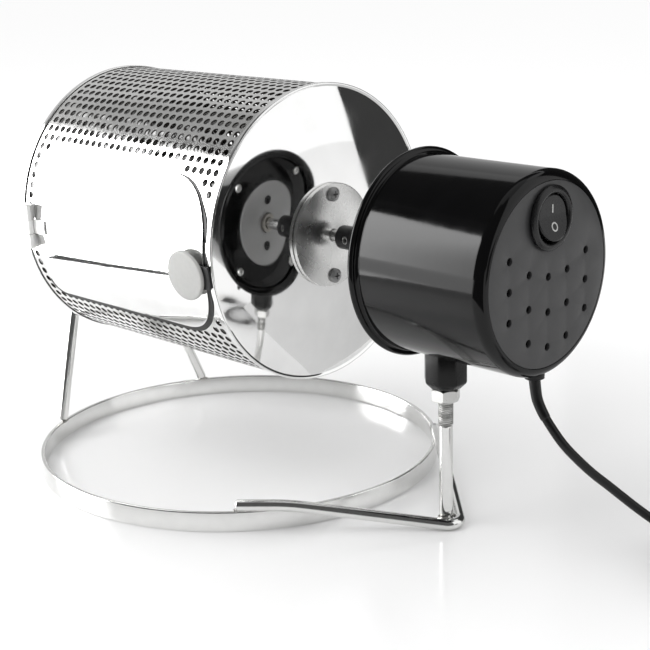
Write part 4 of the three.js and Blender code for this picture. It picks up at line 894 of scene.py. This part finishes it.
def bead_tree():
    tree, given, result = new_tree("weld_beads", "Size", Seed="Int")
    lump = geo(tree, "MeshIcoSphere", {"Radius": given["Size"], "Subdivisions": 3})
    scale = add(tree, "FunctionNodeRandomValue",
                {"Seed": given["Seed"], 0: (0.8, 0.8, 0.5), 1: (1.2, 1.2, 0.8)}, data_type="FLOAT_VECTOR")
    return finish_tree(tree, given, result, laid(tree, given, lump, Scale=scale.outputs[0]))


def make_welds():
    places = []
    for side in (-1, 1):
        for k in range(4):
            places.append((HAIRPIN_X - 1.5 + 1.2 * k, side * (HAIRPIN_Y + 0.6 - 0.9 * k), ON_RING + 0.1))
            places.append((POST_X - 1 + 1.1 * k, side * 3.4, 5.6 - 0.25 * k))
        for k in range(4):
            a = FAR_FOOT + 0.01 * (k - 1.5)
            places.append((RING_X - RING_R * cos(a) + 2.2, side * RING_R * sin(a), ON_RING + 0.3))
            places.append((BEARING_X - 5 + 3.4 * k, side * 4.6, AXIS + 3.6))
    beads = grown("weld_beads", [metres(p) for p in places], bead_tree(),
                  {"Size": 1.25 * MM, "Seed": 7, "Finish": weld_metal})
    fit(beads, "stand")


make_stand()
make_post()
make_nut()
make_boss()
make_welds()


# Pod and gearmotor
def pod_profile():
    front_x, back_x, edge_r = 70.65, 73.95, 5
    bead = arc(front_x, BEAD_RING_R, BEAD_R, 90, 0, 8) + arc(back_x, BEAD_RING_R, BEAD_R, 180, 270, 6)[1:]
    body = [(74.4, POD_R), (142.6, POD_R)]
    edge = arc(POD_REAR - edge_r, POD_R - edge_r, edge_r, 90, 0, 10)[:-1]
    inside = [(POD_REAR, 44.25), (145.2, 44.25), (145.2, 41), (142.9, 41), (142.9, 46.5), (82.3, 46.5),
              (82.3, 41), (75.3, 41), (75.3, 46.5)]
    lip = [(71.4, 46.5), (69.4, 49.3)] + arc(front_x, BEAD_RING_R, BEAD_R, 180, 90, 8)[:-1]
    return bead + body + edge + inside + lip


def make_pod():
    housing = plain_object("pod_shell", along_axis(turned(pod_profile(), 144, loop=True)), gloss_black)
    exit_hole = standing(turned([(85, 0), (85, 3.8), (97, 3.8), (97, 0)], 32), RELIEF_X)
    cut_away(housing, exit_hole)
    fit(housing, "stand", "pod_housing", slot="gloss_black", sharp=30)
    turned_piece("front_plate", bar(PLATE_FRONT, 75, PLATE_R, 0.4, inner=30), 128, gloss_black, "stand",
                 "pod_front_plate", "gloss_black")
    face = eased([(PLATE_FRONT, 6.7), (PLATE_FRONT, 29.7), (75.3, 29.7), (75.3, 33), (76.8, 33), (76.8, 6.7)],
                 0.5, loop=True)
    turned_piece("motor_face", face, 128, cast_grey, "stand", "gearmotor_face", "grey_zinc")
    turned_piece("motor_bush", bar(70, 76.8, 6.5, 0.35, inner=3.8), 64, bronze, "stand", "output_bush",
                 "bronze")
    seat = PLATE_FRONT - 0.05
    corner = 43 * cos(pi / 4)
    places = [(seat, y, AXIS + z) for y in (-corner, corner) for z in (-corner, corner)]
    plate_screws = lay_screws("plate_screws", cross_screw(6.2, 2.1, 3.2, 9, -1), places, zinc_plate)
    fit(plate_screws, "stand", *[f"front_plate_screw_{i}" for i in (1, 2, 3, 4)], slot="zinc")
    places = [(seat, 0, AXIS + 16), (seat, 0, AXIS - 16)]
    face_screws = lay_screws("face_screws", cross_screw(6.2, 1.9, 3.2, 3.5, -1), places, dark_steel)
    fit(face_screws, "stand", "gearmotor_screw_1", "gearmotor_screw_2", slot="dark_steel")


def vent_places():
    """Five columns of three vents, in rows that sag in the middle and lean a little."""
    top, lean, row_arc, column_pitch, row_pitch, squeeze = -0.7, 0.08, 47, 14.5, 16.8, 0.65
    places = []
    for column in (-2, -1, 0, 1, 2):
        y = column * column_pitch
        high = top + row_arc - sqrt(row_arc ** 2 - y ** 2) - lean * y
        pitch = row_pitch - squeeze * column ** 2
        places += [(y * MM, (high - row * pitch) * MM, 0) for row in (0, 1, 2)]
    return places


def cover_tree():
    tree, given, result = new_tree("vented_cover", "Radius", "Thickness", "Vent Radius", "Switch Radius",
                                   "Switch Rise", "Rear", "Axis Height")
    rim, seat = ring_of(tree, given["Radius"], 144), ring_of(tree, given["Switch Radius"], 72)
    rise = vector(tree, 0.0, given["Switch Rise"])
    seat = geo(tree, "Transform", {"Geometry": seat, "Translation": rise})
    vents = laid(tree, given, ring_of(tree, given["Vent Radius"], 20))
    vents = geo(tree, "RealizeInstances", {0: vents})
    flat = geo(tree, "FillCurve", {"Curve": merged(tree, rim, seat, vents)})
    thick = geo(tree, "ExtrudeMesh", {"Mesh": flat, "Offset Scale": given["Thickness"], "Individual": False})
    back = geo(tree, "FlipFaces", {0: flat})
    shut = geo(tree, "MergeByDistance", {"Geometry": merged(tree, thick, back), "Distance": 1e-6})
    seat_x = calculate(tree, "SUBTRACT", given["Rear"], given["Thickness"])
    place = vector(tree, seat_x, 0.0, given["Axis Height"])
    stood = geo(tree, "Transform", {"Geometry": shut, "Translation": place, "Rotation": (pi / 2, 0, pi / 2)})
    return finish_tree(tree, given, result, stood)


def make_cover():
    sizes = {"Radius": 44 * MM, "Thickness": 2.2 * MM, "Vent Radius": 1.85 * MM, "Switch Radius": 13 * MM,
             "Switch Rise": 27 * MM, "Rear": (POD_REAR + MIDDLE) * MM, "Axis Height": AXIS * MM,
             "Finish": satin_black}
    cover = grown("vented_cover", vent_places(), cover_tree(), sizes)
    bevelled(cover, 0.3, angle=50)
    fit(cover, "stand", "pod_rear_cover", slot="satin_black", sharp=40)


SWITCH = (148.3, 0.0, AXIS + 27)
ROCKER_R, ROCKER_TILT = 10.8, radians(9)
MARK_RISE, MARK_LOW, MARK_HIGH = 4.2, -0.1, 0.12


def rocker_height(z):
    """The height of the rocker's face, which is hollow in the middle and rises to both ends."""
    hollow, top = 1.4, 3
    return top - (sqrt(ROCKER_R ** 2 + hollow) - sqrt(z * z + hollow)) * tan(ROCKER_TILT)


def make_bezel():
    x = SWITCH[0]
    profile = eased([(133, 0), (133, 12.7), (x, 12.7), (x, 15.3), (x + 1.6, 15.3), (x + 2.7, 13.6),
                     (x + 2.7, 12.3), (x + 1.6, 11.4), (134.3, 11.4), (134.3, 0)], 0.6, steps=4)
    body = moved(turned(profile, 96), Matrix.Translation((0, 0, SWITCH[2])))
    piece("switch_bezel", body, switch_black, "stand", "switch_body", slot="gloss_black")


def make_rocker(place):
    points, faces, rings, sides, foot, edge_starts, edge_drop = [], [], 16, 96, -3.0, 0.93, 0.5
    for k in range(1, rings + 1):
        share = k / rings
        drop = edge_drop * max(0.0, (share - edge_starts) / (1 - edge_starts)) ** 2
        points += [(rocker_height(z) - drop, y, z) for y, z in circle(ROCKER_R * share, sides)]
    points += [(foot, y, z * 0.94) for y, z in circle(ROCKER_R, sides)]
    points += [(rocker_height(0), 0, 0), (foot, 0, 0)]
    top, bottom = len(points) - 2, len(points) - 1
    for k in range(rings):
        faces += between(k * sides, (k + 1) * sides, sides)
    faces += [(top, (i + 1) % sides, i) for i in range(sides)]
    faces += [(bottom, rings * sides + i, rings * sides + (i + 1) % sides) for i in range(sides)]
    piece("rocker_cap", moved((points, faces), place), switch_black, "rocker", "switch_rocker",
          slot="satin_black")


def make_marks(place):
    line = [(0.4, 1.9), (-0.4, 1.9), (-0.4, -1.9), (0.4, -1.9)]
    on_mark = prism(*[[(rocker_height(z + MARK_RISE) + lift, y, z + MARK_RISE) for y, z in line]
                      for lift in (MARK_LOW, MARK_HIGH)])
    ring, faces, count = [], [], 40
    section = ((1.5, MARK_LOW), (2.2, MARK_LOW), (2.2, MARK_HIGH), (1.5, MARK_HIGH))
    for k, (radius, lift) in enumerate(section):
        ring += [(rocker_height(z - MARK_RISE) + lift, y, z - MARK_RISE) for y, z in circle(radius, count)]
        faces += between(k * count, (k + 1) % 4 * count, count)
    marks = joined(moved(on_mark, place), moved((ring, faces), place))
    piece("switch_marks", marks, mark_white, "rocker")


make_pod()
make_cover()
make_bezel()
rocker_place = Matrix.Translation(SWITCH) @ Matrix.Rotation(-ROCKER_TILT, 4, "Y")
make_rocker(rocker_place)
make_marks(rocker_place)


# Pieces that keep the model's own shape
def dress(finish, *names):
    for name in names:
        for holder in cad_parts[name].material_slots:
            holder.material = finish


dress(turned_steel, "drive_flange_backing")
dress(knob_steel, "mixing_vane_1", "mixing_vane_2", "mixing_vane_3")
dress(hinge_steel, "door_hinge_leaf", "drum_hinge_leaf", "door_hinge_pin")
dress(shaft_steel, "rotor_shaft")
dress(zinc_plate, "far_axle_nut")
dress(cast_grey, "gear_case", "motor_can")
dress(nylon, "output_gear", "idler_gear")
dress(copper_wire, "stator_coil")
dress(magnet_black, "rotor_magnet")


# Table and studio. The cards are seen in polish alone, and each glows on the side that faces the object.
FAR_CARD, NEAR_CARD, ON_TABLE = 8000.0, 1000.0, 0.6


def glowing_sheet(name, points, faces, strengths):
    paper, tree, shader = new_material(name)
    tree.nodes.remove(shader)
    level = add(tree, "ShaderNodeAttribute", attribute_name="level")
    glow = add(tree, "ShaderNodeEmission", {"Color": (1, 1, 1, 1), "Strength": level.outputs["Fac"]})
    behind = add(tree, "ShaderNodeNewGeometry").outputs["Backfacing"]
    clear = add(tree, "ShaderNodeBsdfTransparent")
    face = add(tree, "ShaderNodeMixShader", {0: behind, 1: glow.outputs[0], 2: clear.outputs[0]})
    tree.links.new(face.outputs[0], tree.nodes["Material Output"].inputs[0])
    mesh = bpy.data.meshes.new(name)
    mesh.from_pydata([metres(p) for p in points], [], faces)
    mesh.attributes.new("level", "FLOAT", "POINT").data.foreach_set("value", strengths)
    mesh.materials.append(paper)
    first = mesh.polygons[0]
    if first.normal.dot(first.center - Vector((0, 0, 1))) > 0:
        mesh.flip_normals()
    sheet = put(name, mesh)
    sheet.visible_camera = sheet.visible_diffuse = sheet.visible_shadow = False
    sheet.visible_transmission = False


def value_along(values, share):
    if not isinstance(values, tuple):
        return values
    step = share * (len(values) - 1)
    k = min(int(step), len(values) - 2)
    return values[k] + (values[k + 1] - values[k]) * (step - k)


def studio_card(name, az0, az1, el0, el1, strength, distance=FAR_CARD):
    """A card between two bearings and two heights in degrees. Its top edge and strength may vary along it."""
    across, up = 32, 8
    points, faces, levels = [], [], []
    for j in range(up + 1):
        for i in range(across + 1):
            az = radians(az0 + (az1 - az0) * i / across)
            el = radians(el0 + (value_along(el1, i / across) - el0) * j / up)
            points.append((distance * cos(el) * cos(az), distance * cos(el) * sin(az),
                           distance * sin(el) + AXIS))
            levels.append(value_along(strength, i / across))
    for j in range(up):
        low, high = j * (across + 1), (j + 1) * (across + 1)
        faces += [(low + i, low + i + 1, high + i + 1, high + i) for i in range(across)]
    glowing_sheet(name, points, faces, levels)


def floor_sheet(name, outline, height, strength):
    strengths = strength if isinstance(strength, tuple) else [strength] * len(outline)
    glowing_sheet(name, [(x, y, height) for x, y in outline], [tuple(range(len(outline)))], strengths)


def set_cards():
    studio_card("left_softbox", -166, -122, -2, (31.5, 33.4, 35.2, 36.6, 36.4, 34.8, 34, 33.5, 33),
                (9.5, 9.5, 9.5, 9.8, 10.0, 10.0, 9.4, 4.8, 4.0))
    studio_card("room_behind_camera", -121.9, -1, -2, 78, 0.1)
    studio_card("white_wall", -0.9, 50, -2, 62, 1.16)
    studio_card("dark_board", 50.8, 118, -8.1, 42, 0.045, NEAR_CARD)
    studio_card("grey_card", 2, 20.5, -9, 2.6, 0.17, NEAR_CARD - 100)
    studio_card("grey_board", 118.1, 194, -2, 35.5, 0.62)
    studio_card("grey_strip", 118.1, 194, 35.6, 43, (0.85, 0.85, 0.42, 0.4))
    studio_card("dark_ceiling", 90, 238, 43.1, 62, 0.08)
    studio_card("dark_top", 194.1, 238, 27, 43, (0.3, 0.09, 0.06, 0.06), FAR_CARD + 300)
    studio_card("ceiling_side", -0.9, 238, 62.1, 78, 0.62)
    studio_card("ceiling_top", 0, 360, 78.1, 90, 0.62)
    near = [(-354, -166), (-299, -192), (-255, -226), (-252, -383), (-262, -435), (-230, -462), (-199, -470)]
    floor_sheet("bright_table", near + [(-3300, -7200), (-7200, -3300)], ON_TABLE,
                (9.5, 9.5, 9.5, 9.0, 7.0, 4.6, 3.6, 2.4, 9.5))
    floor_sheet("dark_strip", near[:3] + [(-272, -252), (-311, -218), (-366, -192)], 2 * ON_TABLE, 0.09)
    # Painted shadow: a dim grey sheet on the table where the pod's shadow falls, seen only in the mirrors of
    # the drum's ends
    floor_sheet("grey_sheet", [(60, 60), (260, 60), (420, 330), (150, 400), (60, 200)], ON_TABLE,
                (0.68, 0.74, 0.66, 0.58, 0.58))
    floor_sheet("dark_floor", arc(0, 0, 420, -105, -15, 9) + arc(0, 0, 7800, -15, -105, 9), ON_TABLE, 0.1)


def set_table():
    """A white table whose polish fades away from the object, so that its far end stays plain white."""
    table, tree, shader = new_material("table")
    shader.inputs["Base Color"].default_value = (0.965, 0.965, 0.965, 1)
    shader.inputs["Roughness"].default_value = 0.15
    place = add(tree, "ShaderNodeTexCoord").outputs["Object"]
    away = add(tree, "ShaderNodeVectorMath", {0: place}, operation="LENGTH").outputs["Value"]
    fade = {"Value": away, "From Min": 0.1, "From Max": 0.38, "To Min": 0.3, "To Max": 0.0}
    polish = add(tree, "ShaderNodeMapRange", fade, interpolation_type="SMOOTHSTEP")
    tree.links.new(polish.outputs["Result"], shader.inputs["Specular IOR Level"])
    top = plain_object("table", standing(turned([(0, 0), (0, 9000)], 96), 0), table)
    if top.data.polygons[0].normal.z < 0:
        top.data.flip_normals()


def set_lights():
    world = bpy.data.worlds.new("studio")
    bpy.context.scene.world = world
    world.use_nodes = True
    sky = world.node_tree.nodes["Background"]
    sky.inputs["Color"].default_value = (1, 1, 1, 1)
    sky.inputs["Strength"].default_value = 1.0
    lamp = bpy.data.lights.new("key", "AREA")
    lamp.shape = "RECTANGLE"
    lamp.size, lamp.size_y, lamp.energy = 1.2, 0.9, 10.0
    key = put("key", lamp)
    key.location = (-0.7, -1.0, 1.5)
    key.rotation_euler = (Vector((0, 0, 0.1)) - key.location).to_track_quat("-Z", "Y").to_euler()
    key.visible_glossy = False


set_cards()
set_table()
set_lights()
bpy.context.scene.view_settings.view_transform = "Standard"
bpy.context.view_layer.update()
